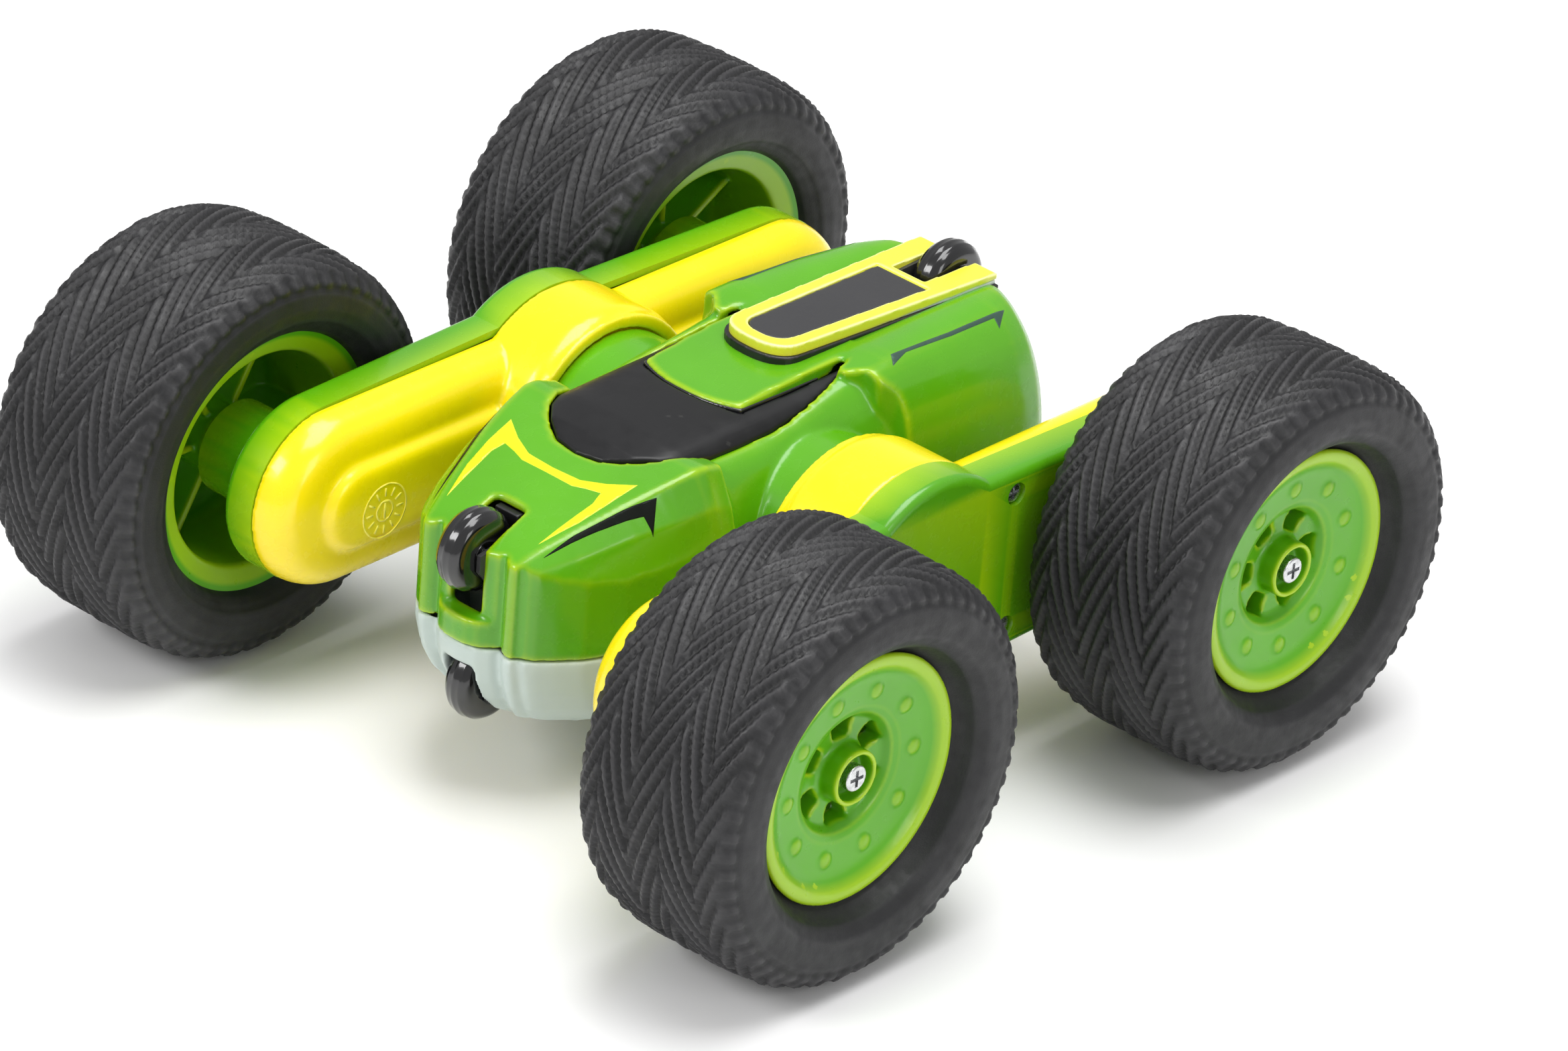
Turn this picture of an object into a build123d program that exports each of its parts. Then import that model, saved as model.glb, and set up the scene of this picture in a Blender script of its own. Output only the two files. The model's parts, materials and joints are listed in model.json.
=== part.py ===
"""Double-sided stunt car: a central body hung between two driven side arms.

Frame: +Z up, the car's front faces -Y and its left side is +X.  The origin is on the ground, under
the middle of the pivot axis that both arms turn about.  All sizes are in millimetres.
"""
from build123d import *
import os
from math import atan, cos, pi, radians, sin, sqrt, tan

os.makedirs("parts", exist_ok=True)

# ---------------------------------------------------------------- driving dimensions
TYRE_R = 47.5                    # tyre tread radius
TYRE_W = 45.3                    # tyre width
WHEEL_X = 88.55                  # wheel centre from the middle of the car
PIVOT_Z = TYRE_R                 # pivot and axle height above the ground
SEAM_Z = 38.8                    # joint plane of the two body shells
WALL = 1.8                       # body shell wall
ARM_WALL = 1.7                   # arm shell wall
GAP = 0.3                        # gap between neighbouring moulded pieces
FIT = 0.06                       # radial running clearance
SNUG = 0.02                      # radial clearance of a fixed fit

# gear train of one arm: centre gear, two idlers and the wheel gear in each leg
MODULE = 0.8
CENTRE_TEETH = 20
IDLER_TEETH = 28
WHEEL_TEETH = 40
IDLER_A_Y = MODULE * (CENTRE_TEETH + IDLER_TEETH) / 2
IDLER_B_Y = IDLER_A_Y + MODULE * IDLER_TEETH
AXLE_Y = IDLER_B_Y + MODULE * (IDLER_TEETH + WHEEL_TEETH) / 2
FINE_MODULE = 0.6
SPUR_TEETH = 46
PINION_TEETH = 10
MOTOR_DROP = FINE_MODULE * (SPUR_TEETH + PINION_TEETH) / 2
PRESSURE_ANGLE = radians(20)
TOOTH_THINNING = 0.10            # taken off each tooth at the pitch circle, for backlash

# arm stack, measured outwards along X
RING_X = 34.5                    # raised ring of the drum, next to the body
DRUM_X = 36.2                    # inner face of the drum
LEG_X = 44.0                     # inner face of the legs
RIB_X = 41.0                     # top of the long raised rib on the legs
PLATE_X = 50.4                   # gear plate
PLATE_T = 1.6
ARM_SEAM_X = 53.6                # joint plane of the two arm shells
TRAIN_X = 54.0                   # gear train
TRAIN_W = 3.4
SPUR_X = 58.1                    # large wheel of the centre gear
SPUR_W = 2.3
ARM_FACE_X = 62.5                # outer face of the arm
ARM_SEAT_X = ARM_FACE_X - 2.4    # under the heads of the arm screws
ARM_POST_X = LEG_X + 2.6         # closed ends of the posts that the arm screws go into
HUB_END_X = 80.0                 # end of the hub boss
DRUM_R = 27.4
RING_IN_R = 23.4
LEG_ROOT_H = 22.6                # leg half height at the pivot
LEG_END_R = 20.7                 # leg half height and end radius at the axle
HUB_BOSS_R = 10.9
PIVOT_TUBE_R = 6.0
GEAR_PIN_R = 1.25
AXLE_R = 2.5
BUSH_R = 4.2
ARM_SCREWS = [(24.5, 16.3), (24.5, -16.3), (54.0, 16.0), (54.0, -16.0)]
GEAR_PINS = [(y, 0) for y in (0, IDLER_A_Y, -IDLER_A_Y, IDLER_B_Y, -IDLER_B_Y)]
AXLES = [(AXLE_Y, 0), (-AXLE_Y, 0)]
MOTOR_Z = PIVOT_Z - MOTOR_DROP
MOTOR_X = 40.2                   # rear end of the motor can
MOTOR_END_X = 57.2
MOTOR_SHAFT_R = 0.75

# screws: radii of their heads' seats, of the posts that they go into and of their pilot holes
SEAT_R = 2.7
POST_R = 3.4
CASE_PILOT_R = 1.3
ARM_PILOT_R = 1.25
CLEAR_R = 1.5

# body
BOSS_R = 23.0                    # round side boss that the arm's drum turns on
BOSS_X = 35.8
BODY_FLOOR_Z = 17.0
ROLLER_R = 9.5
ROLLER_W = 7.6
ROLLER_PIN_R = 1.25
SLOT_HALF = 5.2                  # half width of the slots that the rollers stand out of
ROLLERS = {
    "front_upper_roller": (-76.5, 59.3),
    "front_lower_roller": (-71.3, 26.4),
    "rear_upper_roller": (68.9, 75.5),
    "rear_lower_roller": (68.9, 19.5),
}
FLUTES = [(9.4, -80.9), (-9.4, -80.9)]    # upright grooves each side of the nose
FLUTE_R = 1.6
CASE_SCREWS = [(14.0, -57.0), (22.0, 49.0)]
CASE_SEAT_Z = BODY_FLOOR_Z + 2.4
DOOR_HALF_X = 18.0
DOOR_FRONT_Y = -34.0
DOOR_REAR_Y = 32.0
DOOR_T = 1.8
SWITCH_Y = 44.0
SWITCH_TRAVEL = 3.0


# ---------------------------------------------------------------- helpers
def cross_plane(x, y=0.0, z=PIVOT_Z):
    """Plane across the car at x: its local axes are Y and Z, its normal is +X."""
    return Plane(origin=(x, y, z), x_dir=(0, 1, 0), z_dir=(1, 0, 0))


def save(shape, name):
    """Label one finished piece and write it to its file."""
    shape.label = name
    export_step(shape, f"parts/{name}.step")


def save_pair(shape, name):
    """Write the left piece and its mirror image on the right."""
    save(shape, f"left_{name}")
    save(mirror(shape, about=Plane.YZ), f"right_{name}")


def save_corners(shape, name):
    """Write a rear left piece and its three mirror images."""
    front = mirror(shape, about=Plane.XZ)
    save_pair(shape, f"rear_{name}")
    save_pair(front, f"front_{name}")


def polar(radius, angle):
    return (radius * cos(angle), radius * sin(angle))


def gear_sketch(plane, module, teeth, tooth_angle, addendum=1.0):
    """Spur gear outline with involute flanks; one tooth is centred at tooth_angle (degrees)."""
    pitch_r = module * teeth / 2
    base_r = pitch_r * cos(PRESSURE_ANGLE)
    tip_r = pitch_r + addendum * module
    root_r = pitch_r - 1.25 * module
    flank_r = max(base_r, root_r)
    half_at_base = pi / (2 * teeth) - TOOTH_THINNING / (2 * pitch_r) + tan(PRESSURE_ANGLE) - PRESSURE_ANGLE

    def half_angle(radius):
        roll = sqrt(max((radius / base_r) ** 2 - 1, 0))
        return half_at_base - (roll - atan(roll))

    step = 2 * pi / teeth
    with BuildSketch(plane) as outline:
        with BuildLine():
            for tooth in range(teeth):
                centre = radians(tooth_angle) + tooth * step
                radii = (flank_r, (flank_r + tip_r) / 2, tip_r)
                rising = [polar(r, centre - half_angle(r)) for r in radii]
                falling = [polar(r, centre + half_angle(r)) for r in reversed(radii)]
                root_in = polar(root_r, centre - half_angle(flank_r))
                root_out = polar(root_r, centre + half_angle(flank_r))
                next_root = polar(root_r, centre + step - half_angle(flank_r))
                if flank_r > root_r:
                    Line(root_in, rising[0])
                ThreePointArc(*rising)
                ThreePointArc(rising[2], polar(tip_r, centre), falling[0])
                ThreePointArc(*falling)
                if flank_r > root_r:
                    Line(falling[2], root_out)
                ThreePointArc(root_out, polar(root_r, centre + step / 2), next_root)
        make_face()
    return outline.sketch


def leg_sketch(plane, inset):
    """Both legs of an arm in side view, inset from the outer outline; every join is tangent."""
    root_r = LEG_ROOT_H - inset
    end_r = LEG_END_R - inset
    lean = (LEG_ROOT_H - LEG_END_R) / AXLE_Y
    rise = sqrt(1 - lean * lean)
    root_y, root_z = root_r * lean, root_r * rise
    end_y, end_z = AXLE_Y + end_r * lean, end_r * rise
    far_y = AXLE_Y + end_r
    with BuildSketch(plane) as outline:
        with BuildLine():
            ThreePointArc((-root_y, root_z), (0, root_r), (root_y, root_z))
            Line((root_y, root_z), (end_y, end_z))
            ThreePointArc((end_y, end_z), (far_y, 0), (end_y, -end_z))
            Line((end_y, -end_z), (root_y, -root_z))
            ThreePointArc((root_y, -root_z), (0, -root_r), (-root_y, -root_z))
            Line((-root_y, -root_z), (-end_y, -end_z))
            ThreePointArc((-end_y, -end_z), (-far_y, 0), (-end_y, end_z))
            Line((-end_y, end_z), (-root_y, root_z))
        make_face()
    return outline.sketch


def arm_screw_places():
    """The eight screw places of one arm, as (y, z) from the pivot."""
    return [(side * y, z) for y, z in ARM_SCREWS for side in (1, -1)]


def body_section(y, half):
    """Closed body section at y from the points of its left half, listed from the top to the seam."""
    other = [(-x, z) for x, z in reversed(half) if x > 0]
    with BuildSketch(Plane.XZ.offset(-y)) as section:
        with BuildLine():
            Polyline(*half, *other, close=True)
        make_face()
    return section.sketch


def inset_half(half, wall, floor):
    """Half section moved inwards by the wall, with its last point taken down to floor."""
    moved = []
    for x, z in half[:-1]:
        moved.append((max(x - wall, 0) if x > 0 else 0, z - wall))
    moved.append((half[-1][0] - wall, floor))
    return moved


# ---------------------------------------------------------------- body outlines
# left half of each section of the upper shell: top centre, top edge, two side points, seam
NOSE_SECTIONS = [
    (-80.0, [(0, 59.8), (11.6, 59.8), (13.0, 56.5), (13.6, 48.0), (13.4, SEAM_Z)]),
    (-74.0, [(0, 62.6), (15.4, 62.4), (18.2, 58.5), (19.2, 48.0), (17.8, SEAM_Z)]),
    (-66.0, [(0, 65.9), (17.9, 65.3), (23.6, 60.5), (25.0, 50.0), (24.4, SEAM_Z)]),
    (-48.0, [(0, 71.6), (22.4, 71.3), (28.4, 62.0), (30.4, 50.0), (30.4, SEAM_Z)]),
    (-35.5, [(0, 73.0), (25.6, 75.2), (29.4, 66.0), (31.6, 50.0), (31.6, SEAM_Z)]),
    (-27.5, [(0, 71.5), (23.0, 71.8), (27.6, 62.5), (30.4, 50.0), (30.4, SEAM_Z)]),
]
DECK_SECTIONS = [
    (-38.0, [(0, 72.2), (18.6, 72.0), (24.6, 68.0), (29.2, 55.0), (29.6, SEAM_Z)]),
    (20.0, [(0, 75.0), (19.6, 73.6), (25.4, 69.4), (29.8, 56.0), (30.2, SEAM_Z)]),
]
TAIL_SECTIONS = [
    (14.0, [(0, 78.4), (23.6, 79.6), (29.6, 72.4), (31.6, 58.0), (31.6, SEAM_Z)]),
    (45.0, [(0, 78.6), (22.6, 78.6), (29.4, 70.4), (31.8, 57.0), (31.8, SEAM_Z)]),
    (68.0, [(0, 78.4), (18.4, 77.8), (26.6, 70.2), (31.4, 56.0), (31.4, SEAM_Z)]),
    (73.0, [(0, 76.4), (14.0, 75.6), (23.6, 67.4), (28.2, 54.0), (28.2, SEAM_Z)]),
]
# left half of the plan of the lower shell, front to rear, at the seam, at mid height and at the floor
LOWER_PLANS = [
    (SEAM_Z, [(0, -80.6), (12.8, -79.6), (17.6, -74.4), (24.2, -66.2), (30.4, -48.0), (31.6, -35.0),
              (31.8, 45.0), (31.4, 68.0), (28.2, 73.0), (0, 73.4)]),
    (26.0, [(0, -76.6), (12.4, -75.8), (17.4, -71.6), (23.4, -63.6), (29.2, -46.0), (30.4, -33.0),
            (30.6, 43.0), (29.6, 65.5), (26.2, 70.0), (0, 70.4)]),
    (BODY_FLOOR_Z, [(0, -67.6), (11.0, -67.2), (16.0, -63.6), (20.6, -57.2), (24.4, -42.0), (25.4, -30.0),
                    (25.4, 41.0), (24.2, 60.0), (21.2, 63.6), (0, 64.0)]),
]


def plan_section(z, half, inset):
    """Closed plan outline of the lower shell at height z, inset by the wall."""
    left = [(max(x - inset, 0), y + inset if y < 0 else y - inset) for x, y in half]
    right = [(-x, y) for x, y in reversed(left) if x > 0]
    with BuildSketch(Plane.XY.offset(z)) as section:
        with BuildLine():
            Polyline(*left, *right, close=True)
        make_face()
    return section.sketch


# ---------------------------------------------------------------- upper shell
SHELL_RUNS = (NOSE_SECTIONS, DECK_SECTIONS, TAIL_SECTIONS)
TAB_FRONT_Y = -14.8
TAB_HALF = 14.2
TAB_TOP_Z = 77.4
CANOPY_BASE_Z = 71.3


def screw_columns(radius):
    """Upright columns at the case screw places."""
    with BuildSketch(Plane.XY) as columns:
        for x, y in CASE_SCREWS:
            with Locations((x, y), (-x, y)):
                Circle(radius)
    return columns.sketch


def tab_sketch(grow):
    """Plan of the roof tab, with its bowed front edge."""
    with BuildSketch(Plane.XY.offset(CANOPY_BASE_Z)) as tab:
        with BuildLine():
            half = TAB_HALF + grow
            ThreePointArc((-half, -11.6 - grow), (0, TAB_FRONT_Y - grow), (half, -11.6 - grow))
            Polyline((half, -11.6 - grow), (half, 24), (-half, 24), (-half, -11.6 - grow))
        make_face()
    return tab.sketch


def canopy_sketch(grow):
    """Plan of the canopy: bowed front, widest over the pivot, narrowing to the rear tips."""
    side = [(12.0 + grow, -42.4 - grow), (18.6 + grow, -33.0), (20.0 + grow, -18.0), (19.2 + grow, 0.0)]
    tip = (15.2 + grow, 19.0 + grow)
    nose = (0, -47.0 - grow)
    other = [(-x, y) for x, y in reversed(side)]
    with BuildSketch(Plane.XY.offset(CANOPY_BASE_Z)) as plan:
        with BuildLine():
            Spline(nose, *side, tip, tangents=[(1, 0), (-0.3, 1)])
            Line(tip, (-tip[0], tip[1]))
            Spline((-tip[0], tip[1]), *other, nose, tangents=[(-0.3, -1), (1, 0)])
        make_face()
    return plan.sketch


with BuildPart() as canopy_seat:
    extrude(canopy_sketch(GAP / 2), amount=12)
    extrude(tab_sketch(0), amount=12, mode=Mode.SUBTRACT)

with BuildPart() as body_form:
    for run in SHELL_RUNS:
        loft(sections=[body_section(y, half) for y, half in run], ruled=True)

with BuildPart() as screw_posts:
    extrude(screw_columns(POST_R), amount=90)
    add(body_form.part, mode=Mode.INTERSECT)

with BuildPart() as upper_shell:
    add(body_form.part)
    extrude(tab_sketch(0), amount=TAB_TOP_Z - CANOPY_BASE_Z)
    add(canopy_seat.part, mode=Mode.SUBTRACT)
    for run in SHELL_RUNS:
        inner = [body_section(y, inset_half(half, WALL, SEAM_Z - 1)) for y, half in run]
        front = run[0][0] + (WALL if run is NOSE_SECTIONS else 0)
        rear = run[-1][0] - (WALL if run is TAIL_SECTIONS else 0)
        with BuildPart(mode=Mode.PRIVATE) as room:
            loft(sections=inner, ruled=True)
            with Locations((0, (front + rear) / 2, 60)):
                Box(100, rear - front, 100, mode=Mode.INTERSECT)
        add(room.part, mode=Mode.SUBTRACT)
    with BuildSketch(cross_plane(-BOSS_X)):
        Circle(BOSS_R)
    extrude(amount=2 * BOSS_X)
    with BuildSketch(cross_plane(-BOSS_X + WALL)):
        Circle(BOSS_R - WALL)
    extrude(amount=2 * (BOSS_X - WALL), mode=Mode.SUBTRACT)
    with Locations((0, 0, SEAM_Z)):
        Box(40.0, 56.0, 60.0, mode=Mode.SUBTRACT)
    add(screw_posts.part)
    extrude(screw_columns(CASE_PILOT_R + SNUG), amount=SEAM_Z + 16, mode=Mode.SUBTRACT)
    with BuildSketch(cross_plane(-BOSS_X - 1)):
        Circle(PIVOT_TUBE_R + SNUG)
    extrude(amount=2 * (BOSS_X + 1), mode=Mode.SUBTRACT)
    # slots that the upper rollers stand out of
    with Locations((0, -80.0, 58.9)):
        Box(2 * SLOT_HALF, 25.0, 30.0, mode=Mode.SUBTRACT)
    with Locations((0, 66.0, 76.0)):
        Box(2 * SLOT_HALF, 20.4, 24.0, mode=Mode.SUBTRACT)
    # flutes of the nose
    with BuildSketch(Plane.XY.offset(SEAM_Z - 1)):
        with Locations(*FLUTES):
            Circle(FLUTE_R)
    extrude(amount=24, mode=Mode.SUBTRACT)
    split(bisect_by=Plane.XY.offset(SEAM_Z), keep=Keep.TOP)
save(upper_shell.part, "upper_shell")

# ---------------------------------------------------------------- lower shell
with BuildPart() as lower_form:
    loft(sections=[plan_section(z, half, 0) for z, half in LOWER_PLANS], ruled=True)

with BuildPart() as lower_posts:
    extrude(screw_columns(POST_R), amount=SEAM_Z)
    add(lower_form.part, mode=Mode.INTERSECT)

with BuildPart() as lower_shell:
    add(lower_form.part)
    with BuildPart(mode=Mode.PRIVATE) as lower_room:
        loft(sections=[plan_section(z, half, WALL) for z, half in LOWER_PLANS], ruled=True)
        with Locations((0, 0, BODY_FLOOR_Z + WALL + 20)):
            Box(100, 200, 40, mode=Mode.INTERSECT)
    add(lower_room.part, mode=Mode.SUBTRACT)
    with BuildPart(mode=Mode.PRIVATE) as boss_half:
        with BuildSketch(cross_plane(-BOSS_X)):
            Circle(BOSS_R)
        extrude(amount=2 * BOSS_X)
        split(bisect_by=Plane.XY.offset(SEAM_Z), keep=Keep.BOTTOM)
    add(boss_half.part)
    with BuildSketch(cross_plane(-BOSS_X + WALL)):
        Circle(BOSS_R - WALL)
    extrude(amount=2 * (BOSS_X - WALL), mode=Mode.SUBTRACT)
    with Locations((0, 0, SEAM_Z)):
        Box(47.0, 56.0, 2 * (SEAM_Z - BODY_FLOOR_Z - WALL), mode=Mode.SUBTRACT)
    add(lower_posts.part)
    extrude(screw_columns(CLEAR_R), amount=SEAM_Z + 1, mode=Mode.SUBTRACT)
    extrude(screw_columns(SEAT_R), amount=CASE_SEAT_Z, mode=Mode.SUBTRACT)
    with BuildSketch(cross_plane(-BOSS_X - 1)):
        Circle(PIVOT_TUBE_R + SNUG)
    extrude(amount=2 * (BOSS_X + 1), mode=Mode.SUBTRACT)
    # slots for the lower rollers
    with Locations((0, -74.0, 22.0)):
        Box(2 * SLOT_HALF, 26.0, 25.0, mode=Mode.SUBTRACT)
    with Locations((0, 66.0, 22.0)):
        Box(2 * SLOT_HALF, 20.4, 23.2, mode=Mode.SUBTRACT)
    # flutes of the nose run on below the seam
    with BuildSketch(Plane.XY.offset(BODY_FLOOR_Z)):
        with Locations(*FLUTES):
            Circle(FLUTE_R)
    extrude(amount=30, mode=Mode.SUBTRACT)
    # battery door opening and switch slot in the floor
    with Locations((0, (DOOR_FRONT_Y + DOOR_REAR_Y) / 2, BODY_FLOOR_Z)):
        Box(2 * DOOR_HALF_X, DOOR_REAR_Y - DOOR_FRONT_Y, 4 * WALL, mode=Mode.SUBTRACT)
    with Locations((0, SWITCH_Y + SWITCH_TRAVEL / 2, BODY_FLOOR_Z)):
        Box(4.6, 4.6 + SWITCH_TRAVEL, 4 * WALL, mode=Mode.SUBTRACT)
save(lower_shell.part, "lower_shell")

with BuildPart() as battery_door:
    with Locations((0, (DOOR_FRONT_Y + DOOR_REAR_Y) / 2, BODY_FLOOR_Z + DOOR_T / 2)):
        Box(2 * (DOOR_HALF_X - GAP), DOOR_REAR_Y - DOOR_FRONT_Y - 2 * GAP, DOOR_T)
    with Locations(*[(0, y, BODY_FLOOR_Z) for y in (-26, -22, -18)]):
        Box(16, 1.6, 1.0, mode=Mode.SUBTRACT)
save(battery_door.part, "battery_door")

with BuildPart() as power_switch:
    with Locations((0, SWITCH_Y, BODY_FLOOR_Z + 0.9)):
        Box(4.0, 4.0, 3.4)
    with Locations((0, SWITCH_Y, BODY_FLOOR_Z + 3.2)):
        Box(8.0, 8.0, 1.6)
    with Locations((0, SWITCH_Y - 0.8, BODY_FLOOR_Z - 0.8), (0, SWITCH_Y + 0.8, BODY_FLOOR_Z - 0.8)):
        Box(4.0, 0.6, 0.5, mode=Mode.SUBTRACT)
save(power_switch.part, "power_switch")

# ---------------------------------------------------------------- canopy
CANOPY_RADIUS = 57.0
CANOPY_FRONT = (-47.0, 72.6)
CANOPY_REAR = (-15.0, 76.0)
canopy_tilt = atan((CANOPY_REAR[1] - CANOPY_FRONT[1]) / (CANOPY_REAR[0] - CANOPY_FRONT[0]))
canopy_axis = Plane(
    origin=(0, CANOPY_FRONT[0], CANOPY_FRONT[1] - CANOPY_RADIUS / cos(canopy_tilt)),
    x_dir=(1, 0, 0),
    z_dir=(0, cos(canopy_tilt), sin(canopy_tilt)),
)

with BuildPart() as canopy:
    extrude(canopy_sketch(0), amount=12)
    with BuildSketch(canopy_axis.offset(-20)):
        Circle(CANOPY_RADIUS)
    extrude(amount=120, mode=Mode.INTERSECT)
    extrude(tab_sketch(GAP / 2), amount=12, mode=Mode.SUBTRACT)
save(canopy.part, "canopy")

# ---------------------------------------------------------------- spine
SPINE_Y0 = 5.0
SPINE_Y1 = 72.4
SPINE_BASE_Z = 79.0
SPINE_FRONT_Z = 82.8
SPINE_REAR_Z = 80.6
ROLLER_GAP_Y0 = 56.0


def spine_sketch(plane, inset, rear_y):
    """Plan of the spine cover: rounded front, slightly wider rear."""
    with BuildSketch(plane) as plan:
        with BuildLine():
            Polyline((-9.6 + inset, SPINE_Y0 + inset), (9.6 - inset, SPINE_Y0 + inset),
                     (11.6 - inset, rear_y), (-11.6 + inset, rear_y), close=True)
        make_face()
        fillet(plan.vertices().group_by(Axis.Y)[0], 5.0 - inset * 0.6)
    return plan.sketch


def spine_roof():
    """Block under the sloping top plane of the spine."""
    with BuildPart() as block:
        with BuildSketch(cross_plane(-20, 0, 0)):
            with BuildLine():
                Polyline((SPINE_Y0 - 2, 70), (SPINE_Y0 - 2, SPINE_FRONT_Z), (SPINE_Y1 + 2, SPINE_REAR_Z),
                         (SPINE_Y1 + 2, 70), close=True)
            make_face()
        extrude(amount=40)
    return block.part


SPINE_ROOF = spine_roof()

with BuildPart() as spine_cover:
    extrude(spine_sketch(Plane.XY.offset(SPINE_BASE_Z), 0, SPINE_Y1), amount=8)
    add(SPINE_ROOF, mode=Mode.INTERSECT)
    with Locations((0, (ROLLER_GAP_Y0 + SPINE_Y1 + 4) / 2, SPINE_BASE_Z)):
        Box(2 * SLOT_HALF, SPINE_Y1 + 4 - ROLLER_GAP_Y0, 12, mode=Mode.SUBTRACT)
    extrude(spine_sketch(Plane.XY.offset(SPINE_BASE_Z + 1.2), 3.6, ROLLER_GAP_Y0 - 2), amount=8,
            mode=Mode.SUBTRACT)
save(spine_cover.part, "spine_cover")

with BuildPart() as spine_insert:
    extrude(spine_sketch(Plane.XY.offset(SPINE_BASE_Z + 1.2 + SNUG), 3.6 + SNUG, ROLLER_GAP_Y0 - 2 - SNUG),
            amount=8)
    add(SPINE_ROOF, mode=Mode.INTERSECT)
save(spine_insert.part, "spine_insert")

# ---------------------------------------------------------------- guide rollers
for name, (y, z) in ROLLERS.items():
    with BuildPart() as roller:
        with BuildSketch(cross_plane(-ROLLER_W / 2, y, z)):
            Circle(ROLLER_R)
        extrude(amount=ROLLER_W)
        fillet(roller.edges(), 3.3)
        with BuildSketch(cross_plane(-ROLLER_W, y, z)):
            Circle(ROLLER_PIN_R + FIT)
        extrude(amount=2 * ROLLER_W, mode=Mode.SUBTRACT)
    save(roller.part, name)

CHEEK_IN = ROLLER_W / 2 + 0.15
CHEEK_OUT = SLOT_HALF - 0.15

with BuildPart() as roller_pins:
    for y, z in ROLLERS.values():
        with BuildSketch(cross_plane(-CHEEK_OUT, y, z)):
            Circle(ROLLER_PIN_R)
        extrude(amount=2 * CHEEK_OUT)
save(roller_pins.part, "roller_pins")

FRONT_WEB = [(-61.2, 21.0), (-61.2, 62.4), (-58.8, 62.4), (-58.8, 21.0)]
FRONT_CHEEKS = [
    [(-58.8, 62.4), (-72.0, 61.8), (-79.6, 60.4), (-79.6, 56.4), (-76.0, 52.0), (-71.0, 45.2), (-58.8, 45.2)],
    [(-58.8, 33.0), (-70.0, 33.0), (-74.6, 29.0), (-74.6, 23.4), (-70.0, 20.0), (-58.8, 20.0)],
]
REAR_WEB = [(56.4, 19.4), (56.4, 76.0), (58.8, 76.0), (58.8, 19.4)]
REAR_CHEEKS = [
    [(56.4, 79.6), (66.0, 80.0), (72.0, 78.6), (72.0, 72.0), (66.0, 66.0), (56.4, 66.0)],
    [(56.4, 15.4), (66.0, 15.4), (72.0, 17.0), (72.0, 24.0), (66.0, 29.0), (56.4, 29.0)],
]


def roller_bracket(web, cheeks, roller_names):
    """Two forks on one web, with the holes of their roller pins."""
    with BuildPart() as bracket:
        with BuildSketch(cross_plane(-CHEEK_OUT, 0, 0)):
            with BuildLine():
                Polyline(*web, close=True)
            make_face()
        extrude(amount=2 * CHEEK_OUT)
        for outline in cheeks:
            for start in (-CHEEK_OUT, CHEEK_IN):
                with BuildSketch(cross_plane(start, 0, 0)):
                    with BuildLine():
                        Polyline(*outline, close=True)
                    make_face()
                extrude(amount=CHEEK_OUT - CHEEK_IN)
        for name in roller_names:
            with BuildSketch(cross_plane(-10, *ROLLERS[name])):
                Circle(ROLLER_PIN_R + SNUG)
            extrude(amount=20, mode=Mode.SUBTRACT)
    return bracket.part


save(roller_bracket(FRONT_WEB, FRONT_CHEEKS, ("front_upper_roller", "front_lower_roller")),
     "front_roller_bracket")
save(roller_bracket(REAR_WEB, REAR_CHEEKS, ("rear_upper_roller", "rear_lower_roller")),
     "rear_roller_bracket")

# ---------------------------------------------------------------- inside the body
PACK_Z = 28.2

with BuildPart() as battery_pack:
    with Locations((0, -1.0, PACK_Z)):
        Box(34.0, 62.0, 17.6)
    fillet(battery_pack.edges().filter_by(Axis.Y), 5.0)
    # plug at the rear end
    with Locations((0, 32.0, PACK_Z)):
        Box(9.0, 4.0, 5.0)
save(battery_pack.part, "battery_pack")

BOARD_TOP_Z = 57.8
UPWARDS = (Align.CENTER, Align.CENTER, Align.MIN)

with BuildPart() as circuit_board:
    with Locations((0, 0, BOARD_TOP_Z)):
        Box(34.0, 50.0, 1.6, align=(Align.CENTER, Align.CENTER, Align.MAX))
    # two chips, the antenna plug and two capacitors, each let a little into the board
    with Locations((-5.0, 4.0, BOARD_TOP_Z - 0.1), (8.0, -8.0, BOARD_TOP_Z - 0.1)):
        Box(9.0, 9.0, 1.8, align=UPWARDS)
    with Locations((10.0, 14.0, BOARD_TOP_Z - 0.2)):
        Box(7.0, 4.0, 4.0, align=UPWARDS)
    with Locations((-12.0, -16.0, BOARD_TOP_Z - 0.3), (-6.0, -16.0, BOARD_TOP_Z - 0.3)):
        Cylinder(2.4, 5.0, align=UPWARDS)
save(circuit_board.part, "circuit_board")

TUBE_IN_X = 27.0
TUBE_OUT_X = 39.6
TUBE_COLLAR_R = 8.4
TUBE_BORE_R = 4.4

with BuildPart() as pivot_tubes:
    for start, end, radius in (
        (TUBE_IN_X, TUBE_OUT_X, PIVOT_TUBE_R),
        (TUBE_IN_X, TUBE_IN_X + 6.6, TUBE_COLLAR_R),
        (TUBE_OUT_X - 1.3, TUBE_OUT_X, TUBE_COLLAR_R),
    ):
        for low in (start, -end):
            with BuildSketch(cross_plane(low)):
                Circle(radius)
            extrude(amount=end - start)
    with BuildSketch(cross_plane(-45)):
        Circle(TUBE_BORE_R)
    extrude(amount=90, mode=Mode.SUBTRACT)
save(pivot_tubes.part, "pivot_tubes")


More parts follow.
